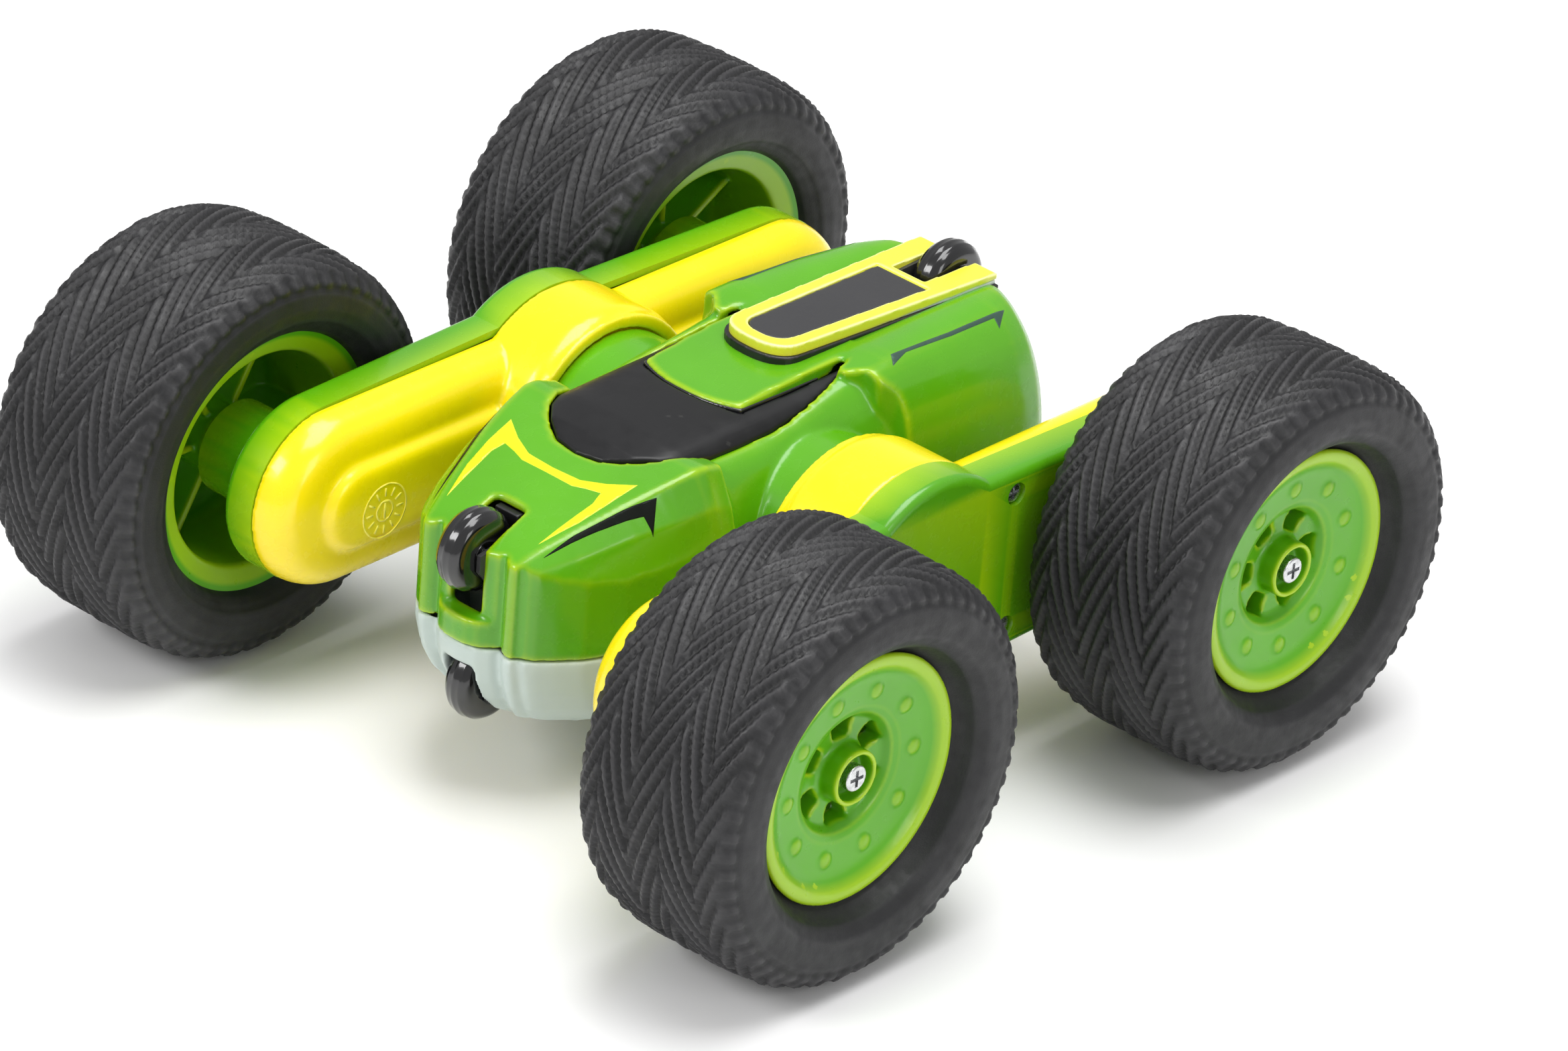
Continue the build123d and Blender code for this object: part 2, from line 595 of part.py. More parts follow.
def screw(plane, head_r, head_h, shank_r, length):
    """Pan head cross screw: plane's origin is under the head, its normal points out of the head."""
    with BuildPart() as one_screw:
        with BuildSketch(plane):
            Circle(head_r)
        extrude(amount=head_h)
        fillet(one_screw.faces().sort_by(Axis(plane.origin, plane.z_dir))[-1].edges(), 0.5)
        with BuildSketch(plane):
            Circle(shank_r)
        extrude(amount=-length)
        with BuildSketch(plane.offset(head_h)):
            Rectangle(head_r * 1.3, head_r * 0.28)
            Rectangle(head_r * 0.28, head_r * 1.3)
        extrude(amount=-head_h * 0.6, mode=Mode.SUBTRACT)
    return one_screw.part


with BuildPart() as case_screws:
    for x, y in CASE_SCREWS:
        for side in (1, -1):
            seat = Plane(origin=(side * x, y, CASE_SEAT_Z), x_dir=(1, 0, 0), z_dir=(0, 0, -1))
            add(screw(seat, 2.5, 1.7, CASE_PILOT_R, 30.0))
save(case_screws.part, "case_screws")

# ---------------------------------------------------------------- arm shells
with BuildPart() as inner_shell:
    extrude(leg_sketch(cross_plane(ARM_SEAM_X), 0), amount=-(ARM_SEAM_X - LEG_X), taper=15)
    fillet(inner_shell.faces().sort_by(Axis.X)[0].edges(), 3.0)
    with BuildSketch(cross_plane(LEG_X + 1)):
        SlotCenterToCenter(2 * AXLE_Y - 2, 23.0)
    extrude(amount=-(LEG_X + 1 - RIB_X), taper=20)
    fillet(inner_shell.faces().sort_by(Axis.X)[0].edges(), 1.6)
    with BuildPart(mode=Mode.PRIVATE) as drum:
        with BuildSketch(cross_plane(DRUM_X)):
            Circle(DRUM_R)
        extrude(amount=ARM_SEAM_X - DRUM_X)
        fillet(drum.faces().sort_by(Axis.X)[0].edges(), 1.2)
        with BuildSketch(cross_plane(RING_X)):
            Circle(DRUM_R - 0.6)
        extrude(amount=DRUM_X - RING_X + 1)
        with BuildSketch(cross_plane(RING_X)):
            Circle(RING_IN_R)
        extrude(amount=DRUM_X - RING_X, mode=Mode.SUBTRACT)
    add(drum.part)
    extrude(leg_sketch(cross_plane(ARM_SEAM_X), ARM_WALL), amount=-(ARM_SEAM_X - LEG_X - ARM_WALL), taper=15,
            mode=Mode.SUBTRACT)
    with BuildSketch(cross_plane(DRUM_X + ARM_WALL)):
        Circle(DRUM_R - ARM_WALL)
    extrude(amount=ARM_SEAM_X - DRUM_X, mode=Mode.SUBTRACT)
    with BuildSketch(cross_plane(ARM_POST_X)):
        with Locations(*arm_screw_places()):
            Circle(2.6)
    extrude(amount=ARM_SEAM_X - ARM_POST_X)
    with BuildSketch(cross_plane(ARM_POST_X + 0.6)):
        with Locations(*arm_screw_places()):
            Circle(ARM_PILOT_R + SNUG)
    extrude(amount=ARM_SEAM_X - ARM_POST_X, mode=Mode.SUBTRACT)
    with BuildSketch(cross_plane(RING_X)):
        Circle(PIVOT_TUBE_R + FIT)
    extrude(amount=10, mode=Mode.SUBTRACT)
save_pair(inner_shell.part, "arm_inner_shell")

with BuildPart() as outer_shell:
    with BuildPart(mode=Mode.PRIVATE) as outer_form:
        extrude(leg_sketch(cross_plane(ARM_SEAM_X), 0), amount=ARM_FACE_X - ARM_SEAM_X)
        with BuildSketch(cross_plane(ARM_SEAM_X)):
            Circle(DRUM_R)
        extrude(amount=ARM_FACE_X - ARM_SEAM_X)
        fillet(outer_form.faces().sort_by(Axis.X)[-1].edges(), 2.2)
    add(outer_form.part)
    extrude(leg_sketch(cross_plane(ARM_SEAM_X), ARM_WALL), amount=ARM_FACE_X - ARM_SEAM_X - ARM_WALL,
            mode=Mode.SUBTRACT)
    with BuildSketch(cross_plane(ARM_SEAM_X)):
        Circle(DRUM_R - ARM_WALL)
    extrude(amount=ARM_FACE_X - ARM_SEAM_X - ARM_WALL, mode=Mode.SUBTRACT)
    with BuildSketch(cross_plane(ARM_SEAM_X)):
        with Locations(*arm_screw_places()):
            Circle(POST_R)
    extrude(amount=ARM_FACE_X - ARM_SEAM_X - ARM_WALL)
    with BuildSketch(cross_plane(ARM_SEAM_X)):
        with Locations(*arm_screw_places()):
            Circle(CLEAR_R)
    extrude(amount=ARM_FACE_X - ARM_SEAM_X, mode=Mode.SUBTRACT)
    with BuildSketch(cross_plane(ARM_SEAT_X)):
        with Locations(*arm_screw_places()):
            Circle(SEAT_R)
    extrude(amount=3, mode=Mode.SUBTRACT)
    # hub bosses that carry the wheel axles
    with BuildSketch(cross_plane(ARM_FACE_X - ARM_WALL)):
        with Locations(*AXLES):
            Circle(HUB_BOSS_R)
    extrude(amount=HUB_END_X - ARM_FACE_X + ARM_WALL)
    with BuildSketch(cross_plane(ARM_SEAM_X)):
        with Locations(*AXLES):
            Circle(HUB_BOSS_R - 2.2)
    extrude(amount=HUB_END_X - 5 - ARM_SEAM_X, mode=Mode.SUBTRACT)
    with BuildSketch(cross_plane(ARM_SEAM_X)):
        with Locations(*AXLES):
            Circle(BUSH_R + SNUG)
    extrude(amount=HUB_END_X - ARM_SEAM_X + 1, mode=Mode.SUBTRACT)
    # sockets of the gear pins
    with BuildSketch(cross_plane(ARM_FACE_X - ARM_WALL - 0.1)):
        with Locations(*GEAR_PINS):
            Circle(2.6)
    extrude(amount=1)
    with BuildSketch(cross_plane(ARM_SEAM_X)):
        with Locations(*GEAR_PINS):
            Circle(GEAR_PIN_R + SNUG)
    extrude(amount=ARM_FACE_X - ARM_SEAM_X - 0.8, mode=Mode.SUBTRACT)
save_pair(outer_shell.part, "arm_outer_shell")

# ---------------------------------------------------------------- inside an arm
with BuildPart() as gear_plate:
    extrude(leg_sketch(cross_plane(PLATE_X), 3.0), amount=PLATE_T)
    with BuildSketch(cross_plane(PLATE_X)):
        Circle(DRUM_R - ARM_WALL - GAP)
    extrude(amount=PLATE_T)
    with BuildSketch(cross_plane(PLATE_X)):
        with Locations(*arm_screw_places()):
            Circle(3.0)
        with Locations((0, -MOTOR_DROP)):
            Circle(8.0)
        with Locations(*AXLES):
            Circle(BUSH_R + SNUG)
        with Locations(*GEAR_PINS):
            Circle(GEAR_PIN_R + SNUG)
    extrude(amount=PLATE_T, mode=Mode.SUBTRACT)
save_pair(gear_plate.part, "gear_plate")

with BuildPart() as gear_pins:
    with BuildSketch(cross_plane(PLATE_X)):
        with Locations(*GEAR_PINS):
            Circle(GEAR_PIN_R)
    extrude(amount=ARM_FACE_X - 0.9 - PLATE_X)
save_pair(gear_pins.part, "gear_pins")

with BuildPart() as axle_bushes:
    for start, length in ((PLATE_X - 0.6, PLATE_T + 1.0), (HUB_END_X - 5.0, 5.2)):
        with BuildSketch(cross_plane(start)):
            with Locations(*AXLES):
                Circle(BUSH_R)
                Circle(AXLE_R + FIT, mode=Mode.SUBTRACT)
        extrude(amount=length)
save_pair(axle_bushes.part, "axle_bushes")

with BuildPart() as arm_screws:
    for y, z in arm_screw_places():
        seat = Plane(origin=(ARM_SEAT_X, y, PIVOT_Z + z), x_dir=(0, 1, 0), z_dir=(1, 0, 0))
        add(screw(seat, 2.45, 1.5, ARM_PILOT_R, 12.4))
save_pair(arm_screws.part, "arm_screws")

with BuildPart() as motor:
    with BuildSketch(cross_plane(MOTOR_X, 0, MOTOR_Z)):
        Circle(7.75)
        Rectangle(20, 12.4, mode=Mode.INTERSECT)
    extrude(amount=MOTOR_END_X - MOTOR_X)
    with BuildSketch(cross_plane(MOTOR_END_X, 0, MOTOR_Z)):
        Circle(2.4)
    extrude(amount=0.7)
    with BuildSketch(cross_plane(MOTOR_END_X, 0, MOTOR_Z)):
        Circle(MOTOR_SHAFT_R)
    extrude(amount=3.3)
    # two terminals
    with BuildSketch(cross_plane(MOTOR_X - 0.8, 0, MOTOR_Z)):
        with Locations((5.0, 0), (-5.0, 0)):
            Rectangle(0.6, 2.2)
    extrude(amount=0.8)
save_pair(motor.part, "motor")

with BuildPart() as motor_pinion:
    pinion_plane = cross_plane(SPUR_X, 0, MOTOR_Z)
    extrude(gear_sketch(pinion_plane, FINE_MODULE, PINION_TEETH, 90 + 180 / PINION_TEETH), amount=SPUR_W)
    with BuildSketch(pinion_plane):
        Circle(MOTOR_SHAFT_R + FIT)
    extrude(amount=SPUR_W, mode=Mode.SUBTRACT)
save_pair(motor_pinion.part, "motor_pinion")

with BuildPart() as centre_gear:
    extrude(gear_sketch(cross_plane(TRAIN_X), MODULE, CENTRE_TEETH, 0), amount=TRAIN_W)
    with BuildSketch(cross_plane(TRAIN_X + TRAIN_W)):
        Circle(5.0)
    extrude(amount=SPUR_X - TRAIN_X - TRAIN_W)
    extrude(gear_sketch(cross_plane(SPUR_X), FINE_MODULE, SPUR_TEETH, -90, addendum=0.55), amount=SPUR_W)
    with BuildSketch(cross_plane(TRAIN_X)):
        Circle(GEAR_PIN_R + FIT)
    extrude(amount=10, mode=Mode.SUBTRACT)
save_pair(centre_gear.part, "centre_gear")

IDLERS = ((IDLER_A_Y, 180 / IDLER_TEETH, "inner_idler"), (IDLER_B_Y, 0, "outer_idler"))

for place, tooth_angle, name in IDLERS:
    with BuildPart() as idler:
        extrude(gear_sketch(cross_plane(TRAIN_X, place), MODULE, IDLER_TEETH, tooth_angle), amount=TRAIN_W)
        with BuildSketch(cross_plane(TRAIN_X + 2.2, place)):
            Circle(8.6)
            Circle(3.6, mode=Mode.SUBTRACT)
        extrude(amount=2, mode=Mode.SUBTRACT)
        with BuildSketch(cross_plane(TRAIN_X, place)):
            Circle(GEAR_PIN_R + FIT)
        extrude(amount=10, mode=Mode.SUBTRACT)
    save_corners(idler.part, name)

# ---------------------------------------------------------------- wheel
AXLE_IN_X = 49.2
AXLE_OUT_X = 102.0
HEX_X = 84.0
HEX_W = 6.0
HEX_R = 5.2
HUB_PILOT_R = 1.4

with BuildPart() as axle:
    with BuildSketch(cross_plane(AXLE_IN_X, AXLE_Y)):
        Circle(AXLE_R)
    extrude(amount=AXLE_OUT_X - AXLE_IN_X)
    wheel_gear_plane = cross_plane(TRAIN_X, AXLE_Y)
    extrude(gear_sketch(wheel_gear_plane, MODULE, WHEEL_TEETH, 180 / WHEEL_TEETH), amount=TRAIN_W)
    with BuildSketch(wheel_gear_plane):
        Circle(6.0)
    extrude(amount=TRAIN_W + 3)
    with BuildSketch(cross_plane(HEX_X, AXLE_Y)):
        RegularPolygon(HEX_R, 6)
    extrude(amount=HEX_W)
    with BuildSketch(cross_plane(AXLE_OUT_X - 12, AXLE_Y)):
        Circle(HUB_PILOT_R + SNUG)
    extrude(amount=13, mode=Mode.SUBTRACT)
save_corners(axle.part, "axle")

HUB_FACE_X = 104.5
HUB_R = 6.3
BEAD_R = 26.4
WINDOW_RING_R = 11.2
HUB_SCREW_X = 102.5              # under the head of the hub screw
# section of the rim as (x, radius): hub, dish, inner flange, bead seat, outer flange, dish face, hub
RIM_SECTION = [
    (82.0, AXLE_R + SNUG), (82.0, 7.4), (94.0, 7.4), (99.6, 21.6), (98.0, 24.2), (72.3, 24.6),
    (68.9, 34.8), (70.9, 35.2), (74.6, BEAD_R), (102.6, BEAD_R), (103.6, 28.6), (105.4, 27.6),
    (105.4, 25.8), (103.2, 23.0), (102.3, 15.4), (99.4, 11.8), (99.4, HUB_R), (HUB_FACE_X, HUB_R),
    (HUB_FACE_X, 4.9), (102.4, 4.9), (102.4, AXLE_R + SNUG),
]
# left half of the tyre's tread and shoulders, as (distance from the side face, radius)
TREAD_SHOULDER = [(0.0, 37.0), (0.7, 41.3), (3.2, 45.4), (9.0, 46.8), (16.0, TYRE_R)]
TYRE_IN_X = WHEEL_X - TYRE_W / 2
TYRE_OUT_X = WHEEL_X + TYRE_W / 2
TYRE_SECTION = [
    (74.8, BEAD_R + 0.1), (71.3, 35.6), (TYRE_IN_X + 0.4, 35.6),
    *[(TYRE_IN_X + depth, r) for depth, r in TREAD_SHOULDER],
    *[(TYRE_OUT_X - depth, r) for depth, r in reversed(TREAD_SHOULDER[1:])],
    (TYRE_OUT_X, 35.6), (TYRE_OUT_X - 0.4, 30.4), (TYRE_OUT_X - 2.0, 29.6), (103.8, 29.0),
    (102.4, BEAD_R + 0.1),
]
AIR_SECTION = [
    (78.0, 30.4), (74.6, 38.6), (71.0, 40.4), (72.4, 42.0), (82.0, 43.4), (95.0, 43.4), (104.6, 42.0),
    (107.4, 38.6), (106.6, 32.8), (101.0, 30.4),
]


def wheel_section(points):
    """Section of a wheel piece, above its axle, from (x, radius) points."""
    with BuildSketch(Plane.XY.offset(PIVOT_Z)) as section:
        with BuildLine():
            Polyline(*[(x, AXLE_Y + r) for x, r in points], close=True)
        make_face()
    return section.sketch


AXLE_LINE = Axis((0, AXLE_Y, PIVOT_Z), (1, 0, 0))

with BuildPart() as rim:
    revolve(wheel_section(RIM_SECTION), axis=AXLE_LINE)
    with BuildSketch(cross_plane(80.0, AXLE_Y)):
        RegularPolygon(HEX_R + 0.05, 6)
    extrude(amount=HEX_X + HEX_W - 80.0 + SNUG, mode=Mode.SUBTRACT)
    # six windows round the hub
    with BuildSketch(cross_plane(90.0, AXLE_Y)):
        with PolarLocations(WINDOW_RING_R, 6):
            RectangleRounded(5.4, 5.0, 1.2)
    extrude(amount=16, mode=Mode.SUBTRACT)
save_corners(rim.part, "rim")

with BuildPart() as tyre:
    revolve(wheel_section(TYRE_SECTION), axis=AXLE_LINE)
    revolve(wheel_section(AIR_SECTION), axis=AXLE_LINE, mode=Mode.SUBTRACT)
save_corners(tyre.part, "tyre")

hub_seat = Plane(origin=(HUB_SCREW_X, AXLE_Y, PIVOT_Z), x_dir=(0, 1, 0), z_dir=(1, 0, 0))
save_corners(screw(hub_seat, 3.0, 2.0, HUB_PILOT_R, 11.0), "hub_screw")
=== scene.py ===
"""Looks of the double-sided stunt car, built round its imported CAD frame.

Sizes are in millimetres and are turned into metres where a mesh or a light is made.  The front of the
car faces -Y and its left side is +X.  Every moulded piece is symmetric about the plane x = 0.
"""
import json
import math

import bmesh
import bpy
import numpy as np
from mathutils import Matrix, Vector


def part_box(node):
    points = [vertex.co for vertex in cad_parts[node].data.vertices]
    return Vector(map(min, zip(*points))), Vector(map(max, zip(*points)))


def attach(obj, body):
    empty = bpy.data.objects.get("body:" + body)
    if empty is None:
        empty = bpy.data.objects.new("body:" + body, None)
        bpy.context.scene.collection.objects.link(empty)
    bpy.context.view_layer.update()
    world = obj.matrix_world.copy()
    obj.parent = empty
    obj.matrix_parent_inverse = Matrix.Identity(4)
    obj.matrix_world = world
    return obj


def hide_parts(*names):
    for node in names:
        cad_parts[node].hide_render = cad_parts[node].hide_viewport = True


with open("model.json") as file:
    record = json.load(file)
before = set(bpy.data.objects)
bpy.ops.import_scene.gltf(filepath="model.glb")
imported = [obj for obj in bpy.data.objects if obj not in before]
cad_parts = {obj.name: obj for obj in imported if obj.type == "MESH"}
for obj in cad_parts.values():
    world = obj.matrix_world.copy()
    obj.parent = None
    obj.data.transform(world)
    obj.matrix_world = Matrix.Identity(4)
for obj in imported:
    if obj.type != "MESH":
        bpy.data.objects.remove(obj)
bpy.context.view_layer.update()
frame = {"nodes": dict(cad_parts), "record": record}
MM = 0.001
SIDES = {"left": 1, "right": -1}
ENDS = {"front": -1, "rear": 1}


# ---------------------------------------------------------------- places taken from the frame
def box_mm(node):
    """Lowest and highest corner of a CAD node, in millimetres."""
    low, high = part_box(node)
    return np.array(low) / MM, np.array(high) / MM


tyre_low, tyre_high = box_mm("left_rear_tyre")
TYRE_HALF_W = (tyre_high[0] - tyre_low[0]) / 2
WHEEL_X = (tyre_high[0] + tyre_low[0]) / 2
AXLE_Y = (tyre_high[1] + tyre_low[1]) / 2
PIVOT_Z = (tyre_high[2] + tyre_low[2]) / 2
SEAM_Z = box_mm("upper_shell")[0][2]
FLOOR_Z = box_mm("lower_shell")[0][2]
BOSS_X = box_mm("upper_shell")[1][0]
BOSS_R = 23.0
WALL = 1.8
SLOT_HALF = 4.4
PIVOT_TUBE_R = 6.02
DOOR_LOW, DOOR_HIGH = box_mm("battery_door")
SWITCH_LOW, SWITCH_HIGH = box_mm("power_switch")


# ---------------------------------------------------------------- mesh helpers
def new_object(name, verts, faces, smooth=True):
    """Mesh object from points in millimetres."""
    mesh = bpy.data.meshes.new(name)
    points = [tuple(float(c) * MM for c in v) for v in verts]
    mesh.from_pydata(points, [], [list(map(int, f)) for f in faces])
    tidy = bmesh.new()
    tidy.from_mesh(mesh)
    bmesh.ops.recalc_face_normals(tidy, faces=tidy.faces)
    tidy.to_mesh(mesh)
    tidy.free()
    mesh.shade_smooth() if smooth else mesh.shade_flat()
    thing = bpy.data.objects.new(name, mesh)
    bpy.context.scene.collection.objects.link(thing)
    return thing


def loft(name, rings, closed=False):
    """Solid through rings of equal length; its ends are capped unless it closes on itself."""
    rings = [np.asarray(r, float) for r in rings]
    count = len(rings[0])
    faces = []
    spans = len(rings) if closed else len(rings) - 1
    for j in range(spans):
        a, b = j * count, ((j + 1) % len(rings)) * count
        for i in range(count):
            k = (i + 1) % count
            faces.append((a + i, a + k, b + k, b + i))
    if not closed:
        faces.append(range(count))
        faces.append(range((len(rings) - 1) * count, len(rings) * count))
    return new_object(name, np.concatenate(rings), faces)


def prism(name, outline, z0, z1):
    """Upright solid on a plan outline of (x, y) points."""
    return loft(name, [[(x, y, z) for x, y in outline] for z in (z0, z1)])


def side_prism(name, outline, x0, x1):
    """Solid across the car on an outline of (y, z) points."""
    return loft(name, [[(x, y, z) for y, z in outline] for x in (x0, x1)])


def block(name, low, high):
    (x0, y0, z0), (x1, y1, z1) = low, high
    return prism(name, [(x0, y0), (x1, y0), (x1, y1), (x0, y1)], z0, z1)


def disc_outline(radius, centre=(0, 0), count=64):
    steps = np.arange(count) * 2 * math.pi / count
    return [(centre[0] + radius * math.cos(a), centre[1] + radius * math.sin(a)) for a in steps]


def turned(name, section, count):
    """Piece turned about the X axis."""
    rings = []
    for k in range(count):
        angle = 2 * math.pi * k / count
        rings.append([(x, r * math.cos(angle), r * math.sin(angle)) for x, r in section])
    return loft(name, rings, closed=True)


def bake_modifiers(thing):
    graph = bpy.context.evaluated_depsgraph_get()
    mesh = bpy.data.meshes.new_from_object(thing.evaluated_get(graph))
    thing.modifiers.clear()
    thing.data = mesh
    return thing


def combine(base, operation, others):
    """Boolean of base with each of the others, which are used up."""
    for other in others:
        step = base.modifiers.new("combine", "BOOLEAN")
        step.operation = operation
        step.solver = "EXACT"
        step.object = other
        bake_modifiers(base)
        bpy.data.objects.remove(other)
    return base


def union(base, *others):
    return combine(base, "UNION", others)


def cut(base, *others):
    return combine(base, "DIFFERENCE", others)


def common(base, *others):
    return combine(base, "INTERSECT", others)


def soften(thing, voxel, rounds):
    """Remesh a solid on a fine grid and relax it, which rounds its edges as a mould does."""
    remesh = thing.modifiers.new("remesh", "REMESH")
    remesh.mode = "VOXEL"
    remesh.voxel_size = voxel * MM
    bake_modifiers(thing)
    relax = thing.modifiers.new("relax", "SMOOTH")
    relax.factor = 0.5
    relax.iterations = rounds
    bake_modifiers(thing)
    thing.data.shade_smooth()
    return thing


def mirrored_half(half):
    """Closed outline from its left half, listed from the middle to the middle."""
    return list(half) + [(-x, y) for x, y in reversed(half) if x > 0.001]


def finish_piece(thing, name, material, body, replaces=()):
    thing.name = name
    thing.data.name = name
    thing.data.materials.clear()
    thing.data.materials.append(material)
    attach(thing, body)
    if replaces:
        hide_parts(*replaces)
    return thing


# ---------------------------------------------------------------- materials
class Nodes:
    """Short hand for building one material's node tree."""

    def __init__(self, name, colour, roughness):
        self.material = bpy.data.materials.new(name)
        self.material.use_nodes = True
        self.tree = self.material.node_tree
        self.shader = self.tree.nodes["Principled BSDF"]
        self.shader.inputs["Base Color"].default_value = (*colour, 1)
        self.shader.inputs["Roughness"].default_value = roughness
        self.place = self.add("ShaderNodeTexCoord").outputs["Object"]

    def add(self, kind, **values):
        node = self.tree.nodes.new(kind)
        for key, value in values.items():
            setattr(node, key, value)
        return node

    def link(self, out, into):
        self.tree.links.new(out, into)

    def noise(self, scale, detail=2.0, roughness=0.5):
        node = self.add("ShaderNodeTexNoise")
        node.inputs["Scale"].default_value = scale
        node.inputs["Detail"].default_value = detail
        node.inputs["Roughness"].default_value = roughness
        self.link(self.place, node.inputs["Vector"])
        return node.outputs["Fac"]

    def ramp(self, value, low, high, out_low=0.0, out_high=1.0):
        node = self.add("ShaderNodeMapRange")
        node.inputs["From Min"].default_value = low
        node.inputs["From Max"].default_value = high
        node.inputs["To Min"].default_value = out_low
        node.inputs["To Max"].default_value = out_high
        self.link(value, node.inputs["Value"])
        return node.outputs["Result"]

    def mix(self, factor, first, second):
        node = self.add("ShaderNodeMix", data_type="RGBA")
        self.link(factor, node.inputs["Factor"])
        for socket, value in ((node.inputs["A"], first), (node.inputs["B"], second)):
            if isinstance(value, tuple):
                socket.default_value = (*value, 1)
            else:
                self.link(value, socket)
        return node.outputs["Result"]

    def colour(self, out):
        self.link(out, self.shader.inputs["Base Color"])

    def roughness(self, out):
        self.link(out, self.shader.inputs["Roughness"])

    def bump(self, height, distance, strength=1.0, under=None):
        node = self.add("ShaderNodeBump")
        node.inputs["Distance"].default_value = distance * MM
        node.inputs["Strength"].default_value = strength
        self.link(height, node.inputs["Height"])
        if under is not None:
            self.link(under, node.inputs["Normal"])
        self.link(node.outputs["Normal"], self.shader.inputs["Normal"])
        return node.outputs["Normal"]

    def edges(self, low=0.52, high=0.60):
        """1 along convex edges, 0 on flat faces."""
        point = self.add("ShaderNodeNewGeometry").outputs["Pointiness"]
        return self.ramp(point, low, high)

    def set(self, **values):
        for key, value in values.items():
            self.shader.inputs[key.replace("_", " ")].default_value = value


def plastic(name, colour, edge_highlight, roughness=0.2, coat=0.0, grain=0.0, cloud=0.85, edge=(0.52, 0.60),
            ring=None, shine=0.5):
    """Moulded plastic: faint colour clouds, a painted highlight along thin convex edges, slight flow ripple
    and handling marks.

    A ring gives three radii round the X axis, in millimetres: the painted edge highlight comes in between the
    first two and ends at the third.
    """
    m = Nodes(name, colour, roughness)
    darker = tuple(c * cloud for c in colour)
    body = m.mix(m.ramp(m.noise(22, 3), 0.35, 0.65), darker, colour)
    if ring:
        flat = m.add("ShaderNodeVectorMath", operation="MULTIPLY")
        flat.inputs[1].default_value = (0, 1, 1)
        m.link(m.place, flat.inputs[0])
        reach = m.add("ShaderNodeVectorMath", operation="LENGTH")
        m.link(flat.outputs[0], reach.inputs[0])
        lip_highlight = m.ramp(reach.outputs["Value"], ring[0] * MM, ring[1] * MM, 0.0, 0.75)
        inside = m.ramp(reach.outputs["Value"], ring[2] * MM, ring[2] * MM + MM, 1.0, 0.0)
        both = m.add("ShaderNodeMath", operation="MULTIPLY")
        m.link(lip_highlight, both.inputs[0])
        m.link(inside, both.inputs[1])
        # painted highlight: the edge highlight colour laid on the rim's lip between the ring's radii
        body = m.mix(both.outputs["Value"], body, edge_highlight)
    # painted highlight: the edge highlight colour along convex edges, found by pointiness
    m.colour(m.mix(m.edges(*edge), body, edge_highlight))
    marks = m.ramp(m.noise(260, 3, 0.5), 0.3, 0.8, roughness * 0.9, roughness * 1.35)
    m.roughness(marks)
    ripple = m.bump(m.noise(120, 2), 0.05, 0.35)
    if grain:
        m.bump(m.noise(4200, 2), grain, 0.6, under=ripple)
    m.set(Coat_Weight=coat, Coat_Roughness=0.06, IOR=1.5, Specular_IOR_Level=shine)
    return m.material


def metal(name, colour, roughness):
    """Plated or turned metal with fine brushing and dull spots."""
    m = Nodes(name, colour, roughness)
    darker = tuple(c * 0.72 for c in colour)
    m.colour(m.mix(m.ramp(m.noise(700, 3), 0.4, 0.7), colour, darker))
    m.roughness(m.ramp(m.noise(2500, 3), 0.3, 0.7, roughness * 0.7, roughness * 1.6))
    m.bump(m.noise(5000, 2), 0.02, 0.4)
    m.set(Metallic=1.0)
    return m.material


def rubber(name):
    """Soft tyre rubber: charcoal with dusty patches, lighter on convex edges, painted shade in the tread's
    hollows and a matt pebbled skin.
    """
    m = Nodes(name, (0.014, 0.014, 0.015), 0.62)
    dust = m.ramp(m.noise(60, 5, 0.6), 0.42, 0.72)
    base = m.mix(dust, (0.009, 0.009, 0.010), (0.018, 0.018, 0.020))
    # lighter along convex edges
    edge_lightened = m.mix(m.edges(0.505, 0.58), base, (0.040, 0.039, 0.041))
    # painted shade: near black in the concave hollows of the tread, found by pointiness
    m.colour(m.mix(m.edges(0.44, 0.497), (0.003, 0.003, 0.003), edge_lightened))
    m.roughness(m.ramp(m.noise(300, 4), 0.3, 0.7, 0.42, 0.62))
    fine = m.bump(m.noise(2600, 3), 0.06, 0.7)
    m.bump(m.noise(500, 2), 0.12, 0.3, under=fine)
    m.set(IOR=1.45)
    return m.material


BODY_GREEN = plastic("body_green", (0.092, 0.365, 0.002), (0.34, 0.52, 0.002), 0.24, coat=0.2,
                     edge=(0.503, 0.545))
ARM_GREEN = plastic("arm_green", (0.085, 0.355, 0.002), (0.30, 0.50, 0.002), 0.24, coat=0.2)
RIM_LIME = plastic("rim_lime", (0.100, 0.40, 0.002), (0.36, 0.56, 0.002), 0.3, coat=0.1,
                   edge=(0.503, 0.54), ring=(23.6, 25.4, 28.4))
ARM_YELLOW = plastic("arm_yellow", (0.95, 0.74, 0.0), (1.0, 0.86, 0.10), 0.24, coat=0.3, cloud=0.93)
LOWER_SILVER = plastic("lower_silver", (0.50, 0.585, 0.545), (0.72, 0.80, 0.76), 0.36, grain=0.03, cloud=0.92)
CANOPY_BLACK = plastic("canopy_black", (0.008, 0.008, 0.009), (0.02, 0.02, 0.02), 0.36, shine=0.3)
SPINE_YELLOW = plastic("spine_yellow", (0.80, 0.79, 0.045), (0.93, 0.94, 0.40), 0.26, coat=0.2, cloud=0.95,
                       edge=(0.505, 0.55))
SPINE_GRAPHITE = plastic("spine_graphite", (0.030, 0.030, 0.033), (0.08, 0.08, 0.08), 0.42, grain=0.04)
BRACKET_BLACK = plastic("bracket_black", (0.008, 0.008, 0.009), (0.04, 0.04, 0.04), 0.35)
ROLLER_BLACK = plastic("roller_black", (0.006, 0.006, 0.007), (0.03, 0.03, 0.03), 0.14, coat=0.6)
